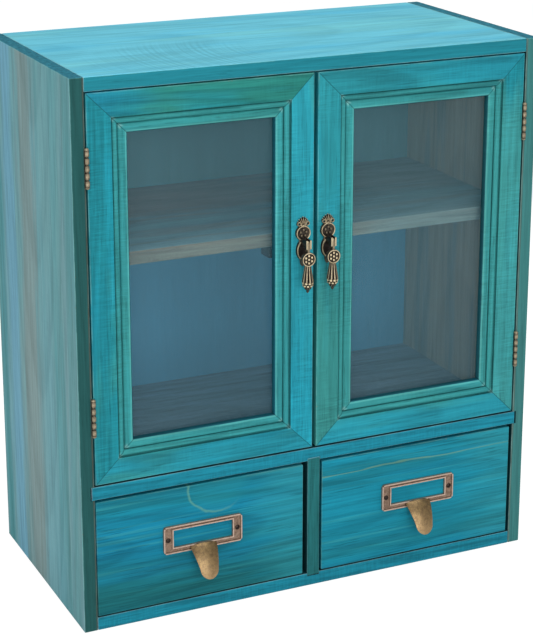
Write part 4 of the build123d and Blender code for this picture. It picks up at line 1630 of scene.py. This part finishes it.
@dataclass
class LabelHolder:
    """Cast label holder on a drawer: a rimmed plate with a window, a bent finger tab and two screws."""

    side: Side
    width: float = 61.0
    height: float = 21.0
    corner: float = 2.4
    plate: float = 1.3
    rim_width: float = 0.9
    rim_height: float = 0.8
    window_width: float = 46.2
    window_height: float = 13.4
    window_rise: float = 0.6
    screw_spacing: float = 54.0
    screw_radius: float = 1.9
    screw_dome: float = 0.9
    tab_half: float = 9.8
    tab_tip: float = 6.6
    tab_crown: float = 2.6
    tab_thickness: float = 1.3
    tab_bend: float = 31.8
    tab_angles: tuple[float, float] = (50.0, 6.0)
    tab_root: float = 8.6
    tab_columns: int = 16
    tab_rows: int = 18
    rub_bands: int = 8
    slot_half: float = 0.28

    def _frame(self) -> Work:
        """The plate with its raised outer rim and window rim.

        Returns:
            The plate.
        """
        half_x, half_z = self.width / 2, self.height / 2
        work = Work.block("holder_frame", (-half_x, -self.plate, -half_z), (half_x, 0, half_z))
        work.pick(lambda p: abs(p.x) > half_x - 0.1 and abs(p.z) > half_z - 0.1, "EDGE").bevel(self.corner, 5)
        work.pick_facing((0, -1, 0)).inset(self.rim_width)
        inner_x, inner_z = half_x - self.rim_width, half_z - self.rim_width
        work.pick_facing((0, -1, 0), lambda p: abs(p.x) > inner_x or abs(p.z) > inner_z)
        work.extrude(0, -self.rim_height, 0)
        open_x, open_z = self.window_width / 2, self.window_height / 2
        rim_x, rim_z = open_x + self.rim_width, open_z + self.rim_width
        rise = self.window_rise
        for reach in (-rim_x, -open_x, open_x, rim_x):
            work.cut((reach, 0, 0), (1, 0, 0))
        for reach in (-rim_z, -open_z, open_z, rim_z):
            work.cut((0, 0, rise + reach), (0, 0, 1))

        def within(p: Vector, x: float, z: float) -> bool:
            """Whether a place lies within a half width and a half height of the window's middle."""
            return abs(p.x) < x and abs(p.z - rise) < z

        work.pick_facing((0, -1, 0), lambda p: within(p, rim_x, rim_z) and not within(p, open_x, open_z))
        work.extrude(0, -self.rim_height, 0)
        work.pick(lambda p: within(p, open_x - 0.01, open_z - 0.01), "FACE")
        bpy.ops.mesh.delete(type="FACE")
        work.bridge_openings()
        bpy.ops.mesh.dissolve_limited(angle_limit=math.radians(1))
        work.soften(0.28, 3, 40)
        front = -self.plate - self.rim_height
        return work.rub(0.12).rub(0.85, lambda p: p.y < front + 0.3)

    def _tab(self) -> Work:
        """The finger tab: a sheet whose rows follow the bend, given its thickness.

        Returns:
            The tab.
        """
        start, end = (math.radians(angle) for angle in self.tab_angles)
        away = 100.0
        work = Work.grid("holder_tab", self.tab_columns, self.tab_rows)
        places = [vertex.co for vertex in bmesh.from_edit_mesh(work.thing.data).verts]
        columns = sorted({round(place.x, 4) for place in places})
        rows = sorted({round(place.y, 4) for place in places}, reverse=True)
        for column in columns:
            work.pick(lambda p: abs(p.x - column) < 0.01).move(0, 0, self.tab_crown * (1 - column ** 2))
        work.everything().scale(self.tab_half, away, 1, (0, 0, 0)).move(0, 3 * away, 0)
        length = self.tab_bend * (math.sin(start) - math.sin(end))
        for index, row in enumerate(rows):
            share = index / (len(rows) - 1)
            fall = length * (1 - (1 - share) ** 1.6)
            angle = math.asin(max(math.sin(start) - fall / self.tab_bend, math.sin(end)))
            reach = self.tab_bend * (math.cos(angle) - math.cos(start))
            shoulder = length - self.tab_tip
            if fall < shoulder:
                half = self.tab_half + (self.tab_tip - self.tab_half) * fall / shoulder
            else:
                half = math.sqrt(max(self.tab_tip ** 2 - (fall - shoulder) ** 2, 0.0))
            narrow = max(half, 1.0) / self.tab_half
            place = row * away + 3 * away
            work.pick(lambda p: abs(p.y - place) < 1.0)
            work.scale(narrow, 1, narrow ** 2, (0, place, 0)).move(0, 0, self.tab_crown * (1 - narrow ** 2))
            work.turn(90 - math.degrees(angle), "X", (0, place, 0))
            work.move(0, -self.plate / 2 - reach - place, -self.tab_root - fall)
        work.everything()
        bpy.ops.mesh.normals_make_consistent(inside=False)
        mesh = bmesh.from_edit_mesh(work.thing.data)
        if sum(face.normal.y for face in mesh.faces) > 0:
            bpy.ops.mesh.flip_normals()
        work.modifier("SOLIDIFY", thickness=self.tab_thickness, offset=1.0, use_even_offset=True)
        work.soften(0.4, 3, 50)
        work.rub(0.5)
        for band in range(self.rub_bands):
            share = band / self.rub_bands
            line = -self.tab_root - length * share
            work.rub(0.08 + 0.42 * share, lambda p: line - length / self.rub_bands < p.z <= line)
        return work.rub(0.12, lambda p: p.z > -self.tab_root)

    def _screw(self, name: str, x: float, turn: float) -> Work:
        """One round-headed screw with its driver slot.

        Args:
            name: Name of the screw.
            x: Place along X.
            turn: Turn of its slot in degrees.

        Returns:
            The screw.
        """
        base = -self.plate
        work = Work.disc(name, self.screw_radius, 24, (x, base, 0), (90, 0, 0))
        rings = [(self.screw_radius * share, self.screw_dome * lift)
                 for share, lift in ((1.0, 0.12), (0.93, 0.42), (0.76, 0.72), (0.5, 0.92), (0.2, 1.0))]
        work.profile(rings, self.screw_radius, 1, (x, base, 0))
        for edge in (-self.slot_half, self.slot_half):
            work.cut((x, 0, edge), (0, 0, 1))
        work.pick_facing((0, -1, 0), lambda p: abs(p.z) < self.slot_half and abs(p.x - x) < 1.6)
        work.extrude(0, 0.45, 0)
        return work.everything().turn(turn, "Y", (x, base, 0))

    def build(self, metals: Metals) -> None:
        """Models the holder and its screws and hangs them on the drawer.

        Args:
            metals: Finishes of the fittings.
        """
        word = self.side.word
        low, high = corners(f"{word}_drawer_label_pull")
        centre = ((low[0] + high[0]) / 2, high[1], high[2] - self.height / 2)
        tab = self._tab().coat(metals.tab.material(word)).rest()
        holder = self._frame().coat(metals.brass.material(word))
        holder.join([tab]).finish(centre)
        holder.fit(f"{word}_drawer_holder", f"{word}_drawer", "antique_brass", f"{word}_drawer_label_pull")
        left = self._screw("screw_a", -self.screw_spacing / 2, 25.0).coat(metals.screw.material(word)).rest()
        right = self._screw("screw_b", self.screw_spacing / 2, -50.0).coat(left.thing.data.materials[0])
        right.join([left]).finish(centre)
        right.fit(f"{word}_drawer_holder_screws", f"{word}_drawer", "screw_metal", f"{word}_drawer_pull_screws")


@dataclass
class DropPull:
    """Cast drop pull on a door: an ornamented back plate, a rivet and a hanging pendant.

    It is modelled about the middle of its boss, on the face of the door.
    """

    side: Side
    boss_radius: float = 5.6
    lobe: tuple[float, float] = (5.1, 7.6)
    lobe_drop: float = 12.6
    tail: tuple[float, float] = (2.0, 4.6)
    tail_drop: float = 20.0
    crown_root: float = 5.0
    petals: int = 7
    petal_spread: float = 16.0
    scroll_place: tuple[float, float] = (3.2, 6.9)
    post_drop: float = 6.4
    post_width: float = 4.0
    post_height: float = 6.4
    post_reach: float = 11.2
    slot: float = 1.9
    slot_start: float = 4.4
    stem_radius: float = 1.4
    stem_length: float = 12.6
    rivet_reach: float = 8.8
    pendant_reach: float = 9.2
    rosette_drop: float = 17.1
    rosette_radius: float = 5.0
    rosette_back: float = 8.6
    ribs: int = 10
    beads: int = 8
    bumps: int = 5
    lobe_rings: Rings = ((5.1, 0.9), (4.95, 1.8), (4.6, 2.3), (4.2, 2.3), (3.9, 1.5), (3.4, 1.3), (2.2, 1.5),
                         (0.6, 1.6))
    tail_rings: Rings = ((2.0, 0.8), (1.85, 1.4), (1.3, 2.0), (0.5, 2.3))
    boss_rings: Rings = ((5.6, 1.2), (5.55, 2.1), (5.2, 2.5), (4.85, 2.4), (4.5, 1.4), (3.4, 1.2), (2.5, 1.4),
                         (1.2, 1.5), (0.4, 1.5))
    rivet_head: Rings = ((0.3, 0.0), (0.75, 0.14), (0.95, 0.5), (0.6, 0.52))
    rosette_rings: Rings = ((5.1, 0.4), (5.2, 2.2), (5.1, 2.6), (4.8, 2.9), (4.45, 2.9), (4.2, 2.2), (4.0, 1.9),
                            (0.5, 1.9))
    skirt_rings: Rings = ((0.8, 0.5), (1.1, 1.2), (0.9, 1.7), (1.7, 2.4), (2.5, 3.3), (2.9, 4.2), (2.7, 4.5),
                          (2.7, 5.9), (3.0, 6.3), (3.1, 8.0), (3.8, 8.2), (4.2, 8.6), (4.05, 9.4), (3.75, 11.0),
                          (3.3, 13.6), (2.85, 16.4), (2.4, 19.2), (2.2, 20.6))
    skirt_length: float = 24.9
    bud_height: float = 4.4
    flutes_start: float = 8.4
    flutes: Rings = ((0, 1.03), (1, 1.02), (2, 0.98), (3, 0.83), (4, 0.78))

    @staticmethod
    def _relief(name: str, radius: float, stretch: float, drop: float, steps: Rings) -> Work:
        """A round or oval relief on the plate, built up ring by ring.

        Args:
            name: Name of the relief.
            radius: Half width of its foot.
            stretch: Height of its foot over its width.
            drop: Distance below the boss's middle.
            steps: Radius and distance from the door of each ring.

        Returns:
            The relief.
        """
        centre = (0, 0, -drop)
        work = Work.disc(name, radius, 40, centre, (90, 0, 0)).scale(1, 1, stretch, centre)
        return work.profile(steps, radius, 1, centre)

    def _petals(self) -> list[Work]:
        """The fan of ribbed petals above the boss, each a copy of one shaped bead.

        Returns:
            The petals.
        """
        first = Work.ball("petal", 1.0, (0, 0, 0), 10, 10)
        first.scale(0.6, 1.4, 3.5, (0, 0, 0)).pick(lambda p: p.z < -1.5).scale(0.5, 0.7, 1, (0, 0, 0))
        first.pick(lambda p: p.z > 2.0).scale(1.2, 1.1, 1, (0, 0, 0)).everything()
        first.move(0, -0.9, self.crown_root + 3.6).rub(0.0).rub(0.95, lambda p: p.y < -2.05 or p.z > 11.6).rest()
        fan = []
        for index in range(self.petals):
            lean = (index - (self.petals - 1) / 2) * self.petal_spread
            petal = first.copy(f"petal_{index}")
            share = 1.0 - 0.2 * abs(lean) / 48
            root = (0, 0, self.crown_root)
            fan.append(petal.everything().scale(1, 1, share, root).turn(lean, "Y", root).rest())
        bpy.data.objects.remove(first.thing)
        return fan

    def _post(self) -> Work:
        """The forked post that carries the pendant; a cut keeps the rubbed end faces apart from its sides.

        Returns:
            The post.
        """
        half, tall = self.post_width / 2, self.post_height / 2
        work = Work.block("post", (-half, -self.slot_start, -self.post_drop - tall),
                          (half, 0, -self.post_drop + tall))
        for edge in (-self.slot / 2, self.slot / 2):
            work.cut((edge, 0, 0), (1, 0, 0))
        work.pick_facing((0, -1, 0), lambda p: abs(p.x) > self.slot / 2)
        work.extrude(0, self.slot_start - self.post_reach, 0)
        work.soften(0.18, 2, 40)
        work.cut((0, 0.7 - self.post_reach, 0), (0, 1, 0))
        return work.rub(0.0).rub(0.8, lambda p: p.y < -self.post_reach + 0.25)

    def _back(self) -> Work:
        """The back plate: lobe, tail, boss, crown, scrolls, post and stem.

        Returns:
            The plate.
        """
        pieces = [
            self._relief("lobe", self.lobe[0], self.lobe[1] / self.lobe[0], self.lobe_drop, self.lobe_rings)
            .rub(0.0).rub(0.85, lambda p: p.y < -2.1).rest(),
            self._relief("tail", self.tail[0], self.tail[1] / self.tail[0], self.tail_drop, self.tail_rings)
            .rub(0.1).rest(),
            self._relief("boss", self.boss_radius, 1.0, 0.0, self.boss_rings)
            .rub(0.05).rub(0.9, lambda p: p.y < -2.3).rest(),
            Work.ring("neck", 2.9, 0.55, (0, -1.3, -6.2), (90, 0, 0)).rub(0.15).rest(),
            self._post().rest(),
            Work.disc("stem", self.stem_radius, 16, (0, 0, -self.post_drop), (-90, 0, 0))
            .extrude(0, self.stem_length, 0).rest(),
        ]
        for index in range(self.bumps):
            angle = math.radians(90 + 360 / self.bumps * index)
            place = (2.3 * math.cos(angle), -1.6, 2.3 * math.sin(angle))
            pieces.append(Work.ball(f"bump_{index}", 1.15, place).rub(0.0).rub(0.2, lambda p: p.y < -2.3).rest())
        for way in (-1, 1):
            x, z = way * self.scroll_place[0], self.scroll_place[1]
            ring = Work.ring("scroll", 1.3, 0.5, (x, -1.25, z)).scale(1, 2.3, 1, (x, -1.25, z))
            pieces.append(ring.rub(0.1).rub(0.9, lambda p: p.y < -2.2).rest())
            pieces.append(Work.ball("scroll_end", 0.8, (way * 1.5, -1.6, 5.6)).rub(0.5).rest())
        pieces.append(Work.ball("crown_foot", 1.2, (0, -1.5, 5.2)).rub(0.5).rest())
        return self._flat_backed(pieces[0].join(pieces[1:] + self._petals()))

    @staticmethod
    def _flat_backed(work: Work) -> Work:
        """Levels the ornaments' hidden backs with the door's face; only the stem runs on behind it."""
        return work.pick(lambda p: 0.0 < p.y < 3.0).scale(1, 0, 1, (0, 0, 0)).everything()

    def _rivet(self) -> Work:
        """Rivet with a domed head on each cheek of the post.

        Returns:
            The rivet.
        """
        start = -self.post_width / 2 - 0.5
        centre = (start, -self.rivet_reach, -self.post_drop)
        end = self.post_width + 1.0
        tip = self.rivet_head[0][0]
        rings = [*self.rivet_head[1:], *((radius, end - reach) for radius, reach in reversed(self.rivet_head))]
        return Work.disc("rivet", tip, 16, centre, (0, 90, 0)).profile(rings, tip, 0, centre)

    def _rosette(self) -> list[Work]:
        """The rimmed disc with its ring of six beads about a seventh.

        Returns:
            The disc and its beads.
        """
        centre = (0, -self.rosette_back, -self.rosette_drop)
        disc = Work.disc("rosette", self.rosette_radius, 40, centre, (90, 0, 0))
        disc.profile(self.rosette_rings, self.rosette_radius, 1, centre)
        rim = -self.rosette_back - 2.7
        pieces = [disc.rub(0.05).rub(0.95, lambda p: p.y < rim).rest()]
        floor = self.rosette_back + 2.1
        for index in range(7):
            angle = math.radians(60 * index + 30)
            reach = 2.65 if index < 6 else 0.0
            place = (reach * math.cos(angle), -floor, reach * math.sin(angle) - self.rosette_drop)
            bead = Work.ball(f"rosette_bead_{index}", 1.0 if index < 6 else 0.95, place)
            pieces.append(bead.rub(0.05).rub(1.0, lambda p: p.y < -floor - 0.5).rest())
        return pieces

    def _round_axis(self, place: Vector, count: int) -> float:
        """Angle in degrees from a place to the nearest of so many spokes round the pendant's axis.

        Args:
            place: The place.
            count: Number of spokes.

        Returns:
            The angle.
        """
        angle = math.degrees(math.atan2(place.y + self.pendant_reach, place.x)) + 90
        angle %= 360 / count
        return min(angle, 360 / count - angle)

    def _skirt(self) -> Work:
        """The turned drop, fluted between its neck and the two bands of beads, with a pointed bud.

        Returns:
            The skirt.
        """
        axis = (0, -self.pendant_reach, 0)
        foot = -self.rosette_drop - self.skirt_length
        bud, flutes = foot + self.bud_height, foot + self.flutes_start
        sides = self.ribs * 8
        work = Work.disc("skirt", 0.35, sides, (0, -self.pendant_reach, foot), (180, 0, 0))
        work.profile(self.skirt_rings, 0.35, 2, axis)
        step = 360 / sides
        spokes = self.ribs
        middle = 180 / spokes
        for offset, ratio in self.flutes:
            work.pick(lambda p: flutes < p.z and abs(self._round_axis(p, spokes) - offset * step) < step / 3)
            work.scale(ratio, ratio, 1, axis)
        work.pick(lambda p: foot + 0.4 < p.z < bud and self._round_axis(p, spokes) > middle - step / 2)
        work.scale(0.8, 0.8, 1, axis)
        work.rub(0.0).rub(0.45, lambda p: p.z > flutes and self._round_axis(p, spokes) < 1.5 * step)
        work.rub(0.9, lambda p: p.z > flutes and self._round_axis(p, spokes) < 0.5 * step)
        return work.rub(0.6, lambda p: p.z < bud and self._round_axis(p, spokes) < 0.5 * step)

    def _bead_bands(self) -> list[Work]:
        """Two bands of cushion-shaped beads round the foot of the skirt.

        Returns:
            The beads.
        """
        pieces = []
        for band, (drop, circle, wide, tall) in enumerate(((17.4, 3.5, 1.25, 0.95), (19.4, 3.1, 1.0, 0.8))):
            z = -self.rosette_drop - drop
            first = Work.ball("band_bead", 1.0, (0, 0, 0), 10, 8).scale(0.8, wide, tall, (0, 0, 0))
            first.rub(0.05).rub(0.95, lambda p: p.x > 0.3).rest()
            bpy.ops.object.mode_set(mode="EDIT")
            first.everything().move(circle, -self.pendant_reach, z).rest()
            for index in range(self.beads):
                bead = first.copy(f"band_{band}_{index}").everything()
                turn = 360 * (index + 0.5 * band) / self.beads - 90
                pieces.append(bead.turn(turn, "Z", (0, -self.pendant_reach, 0)).rest())
            bpy.data.objects.remove(first.thing)
        return pieces

    def _tongue(self) -> Work:
        """The flat tongue that turns on the rivet.

        Returns:
            The tongue.
        """
        reach, top = self.rivet_reach, -self.post_drop + 2.2
        foot = -self.rosette_drop + 3.6
        work = Work.block("tongue", (-0.75, -reach - 2.2, foot), (0.75, -reach + 2.2, top))
        work.pick(lambda p: p.z > top - 0.1 and abs(p.y + reach) > 2.1, "EDGE").bevel(2.0, 6)
        work.soften(0.15, 2, 50)
        work.cut((0, 0.7 - reach - 2.2, 0), (0, 1, 0))
        return work.rub(0.0).rub(0.35, lambda p: p.y < 0.3 - reach - 2.2).rub(0.6, lambda p: p.z > top - 1.0)

    def build(self, metals: Metals) -> None:
        """Models the pull and hangs its pieces on the door and the pendant.

        Args:
            metals: Finishes of the fittings.
        """
        word = self.side.word
        low, high = corners(f"{word}_door_pull_rivet")
        place = ((low[0] + high[0]) / 2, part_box(f"{word}_door_hinge_stile")[0].y / MM,
                 (low[2] + high[2]) / 2 + self.post_drop)
        bronze = metals.bronze.material(word)
        back = self._back().finish(place).coat(bronze)
        back.fit(f"{word}_door_pull_back", f"{word}_door", "dark_bronze", f"{word}_door_pull_plate")
        rivet = self._rivet().finish(place).coat(bronze)
        rivet.fit(f"{word}_door_pull_pin", f"{word}_door", "dark_bronze", f"{word}_door_pull_rivet")
        pieces = [self._skirt().rest(), self._tongue().rest(), *self._rosette(), *self._bead_bands()]
        drop = pieces[0].join(pieces[1:]).finish(place).coat(bronze)
        drop.fit(f"{word}_door_pull_drop", f"{word}_pendant", "dark_bronze", f"{word}_door_pull_pendant")


@dataclass
class Hinges:
    """Knuckled butt hinges, two to a door, modelled about the middle of each barrel."""

    height: float = 26.0
    knuckles: int = 5
    gap: float = 0.3
    barrel: float = 1.6
    chamfer: float = 0.6
    pin: float = 0.75
    pin_head: float = 1.3
    leaf_near: float = 0.15
    leaf_far: float = 0.9
    leaf_start: float = 1.9
    leaf_end: float = 8.8
    front: float = 0.9

    def _leaf(self, name: str, way: int, first: int) -> Work:
        """One leaf with every second knuckle, on the side of the barrel that way gives.

        Args:
            name: Name of the leaf.
            way: 1 for the right-hand side of the barrel, -1 for the left-hand side.
            first: Index of its lowest knuckle.

        Returns:
            The leaf.
        """
        half = (self.height - self.gap) / 2
        near, far = sorted((way * self.leaf_near, way * self.leaf_far))
        leaf = Work.block(name, (near, self.leaf_start, -half), (far, self.leaf_end, half))
        leaf.pick(lambda p: abs(p.z) > half - 0.1 and p.y > self.leaf_end - 0.1, "EDGE").bevel(1.0, 3)
        pitch = self.height / self.knuckles
        tall, slim = pitch - self.gap, self.barrel - self.chamfer
        lows = [-self.height / 2 + self.gap / 2 + index * pitch for index in range(first, self.knuckles, 2)]
        for low in lows:
            leaf.cut((0, 0, low), (0, 0, 1)).cut((0, 0, low + tall), (0, 0, 1))
            leaf.pick_facing((0, -1, 0), lambda p: low < p.z < low + tall).extrude(0, -1.0, 0)
        leaf.rub(0.3).rest()
        pieces = []
        for low in lows:
            knuckle = Work.disc("knuckle", slim, 20, (0, 0, low), (180, 0, 0))
            knuckle.profile([(self.barrel, self.chamfer), (self.barrel, tall - self.chamfer), (slim, tall)], slim,
                            2, (0, 0, low))
            knuckle.cut((0, 0, low + tall / 2), (0, 0, 1))
            knuckle.rub(0.0).rub(0.35, lambda p: abs(p.z - low - tall / 2) < tall / 2 - 0.2 and p.y < -self.front)
            knuckle.rub(0.95, lambda p: abs(p.z - low - tall / 2) < 0.2 and p.y < -self.front)
            pieces.append(knuckle.rest())
        return leaf.join(pieces)

    def _pin(self) -> Work:
        """The pin with a domed head on each end of the barrel.

        Returns:
            The pin.
        """
        foot = -(self.height - self.gap) / 2 - self.pin_head
        top = 2 * -foot
        head = [(0.4, 0.0), (1.1, 0.25), (1.5, 0.75), (1.6, self.pin_head - 0.01), (self.pin, self.pin_head)]
        rings = head[1:] + [(radius, top - reach) for radius, reach in reversed(head)]
        pin = Work.disc("pin", 0.4, 20, (0, 0, foot), (180, 0, 0))
        return pin.profile(rings, 0.4, 2, (0, 0, foot)).rub(0.8)

    def build(self, metals: Metals) -> None:
        """Models the hinges and hangs their leaves on the cabinet and the doors.

        Args:
            metals: Finishes of the fittings.
        """
        pins = []
        low, high = corners("hinge_pins")
        for side in Side:
            word = side.word
            metal = metals.hinge.material(word)
            for level in ("upper", "lower"):
                node = f"{word}_door_{level}_hinge_leaf"
                leaf_low, leaf_high = corners(node)
                x = low[0] + self.barrel if side is Side.LEFT else high[0] - self.barrel
                place = (x, low[1] + self.barrel, (leaf_low[2] + leaf_high[2]) / 2)
                base = self._leaf("hinge_base", side.value, 0).finish(place).coat(metal)
                base.fit(f"{word}_{level}_hinge_plate", "carcass", "hinge_metal", f"{word}_{level}_hinge_base")
                leaf = self._leaf("hinge_leaf", -side.value, 1).finish(place).coat(metal)
                leaf.fit(f"{word}_door_{level}_hinge_flap", f"{word}_door", "hinge_metal", node)
                pins.append(self._pin().finish(place).coat(metal).rest())
            dress(f"{word}_door_hinge_screws", metals.screw.material(f"{word}_hinge"))
        pins[0].join(pins[1:]).rest()
        pins[0].fit("hinge_rods", "carcass", "hinge_metal", "hinge_pins")
        dress("hinge_base_screws", metals.screw.material("hinge_base"))


@dataclass
class Studio:
    """Floor, backdrop, lamps and camera."""

    eye: Point = (-565.228, -1229.076, 642.438)
    azimuth: float = 24.825
    fall: float = 15.954
    lens: float = 104.75
    shift_up: float = -0.1493
    ambient: float = 0.42
    floor_size: float = 14.0
    floor_gap: float = 0.0004
    floor_colour: Colour = (0.9, 0.9, 0.9)
    floor_glow: float = 1.24
    glow_share: float = 0.7
    middle: Point = (0.0, 0.0, 0.2)

    def camera(self) -> None:
        """Adds the camera at the photograph's angle."""
        data = bpy.data.cameras.new("camera")
        camera = bpy.data.objects.new("camera", data)
        bpy.context.scene.collection.objects.link(camera)
        turn, tilt = math.radians(self.azimuth), math.radians(self.fall)
        ahead = Vector((math.sin(turn) * math.cos(tilt), math.cos(turn) * math.cos(tilt), -math.sin(tilt)))
        camera.location = [part * MM for part in self.eye]
        camera.rotation_mode = "QUATERNION"
        camera.rotation_quaternion = ahead.to_track_quat("-Z", "Y")
        data.lens = self.lens
        data.sensor_width = 36.0
        data.shift_y = self.shift_up
        data.clip_start = 0.05
        bpy.context.scene.camera = camera

    def world(self) -> None:
        """White backdrop for the camera, with a plain soft light on everything."""
        world = bpy.data.worlds.new("studio")
        bpy.context.scene.world = world
        world.use_nodes = True
        nodes = Nodes(world.node_tree)
        light, white = (nodes.node("Background", WHITE, strength).outputs[0] for strength in (self.ambient, 1.0))
        nodes.close("World", nodes.seen_straight(), light, white)

    def floor(self) -> None:
        """Pale floor that keeps the cabinet's shadow."""
        Work.clear()
        bpy.ops.mesh.primitive_plane_add(size=self.floor_size, location=(0, 0, -self.floor_gap))
        floor = bpy.context.object
        floor.name = "floor"
        material = bpy.data.materials.new("pale_floor")
        material.use_nodes = True
        nodes = Nodes(material.node_tree)
        matt = nodes.node("BsdfDiffuse", self.floor_colour).outputs[0]
        glow = nodes.node("Emission", WHITE, self.floor_glow).outputs[0]
        nodes.close("Material", nodes.seen_straight() * self.glow_share, matt, glow)
        floor.data.materials.append(material)

    def lamp(self, name: str, place: Point, size: float, power: float) -> None:
        """Adds one soft square lamp that points at the cabinet's middle.

        Args:
            name: Name of the lamp.
            place: Where it stands, in metres.
            size: Its side, in metres.
            power: Its power in watts.
        """
        data = bpy.data.lights.new(name, "AREA")
        data.size = size
        data.energy = power
        lamp = bpy.data.objects.new(name, data)
        bpy.context.scene.collection.objects.link(lamp)
        lamp.location = place
        lamp.rotation_mode = "QUATERNION"
        lamp.rotation_quaternion = (Vector(self.middle) - Vector(place)).to_track_quat("-Z", "Y")
        lamp.visible_camera = False

    def build(self) -> None:
        """Sets the whole studio up."""
        bpy.context.scene.view_settings.view_transform = "Standard"
        self.camera()
        self.world()
        self.floor()
        self.lamp("top_lamp", (0.1, -0.3, 2.2), 1.8, 26.0)
        self.lamp("front_lamp", (-0.4, -2.4, 0.8), 1.8, 34.0)
        self.lamp("left_lamp", (-2.3, -0.4, 0.9), 1.5, 14.0)


def main() -> None:
    """Builds the cabinet's fittings and finishes in order."""
    logging.basicConfig(level=logging.INFO, format="%(message)s")
    metals = Metals()
    Carcass().build(metals)
    for side in Side:
        Door(side).build(metals)
        DropPull(side).build(metals)
        Drawer(side).build(metals)
        LabelHolder(side).build(metals)
    Hinges().build(metals)
    Studio().build()


if __name__ == "__main__":
    main()
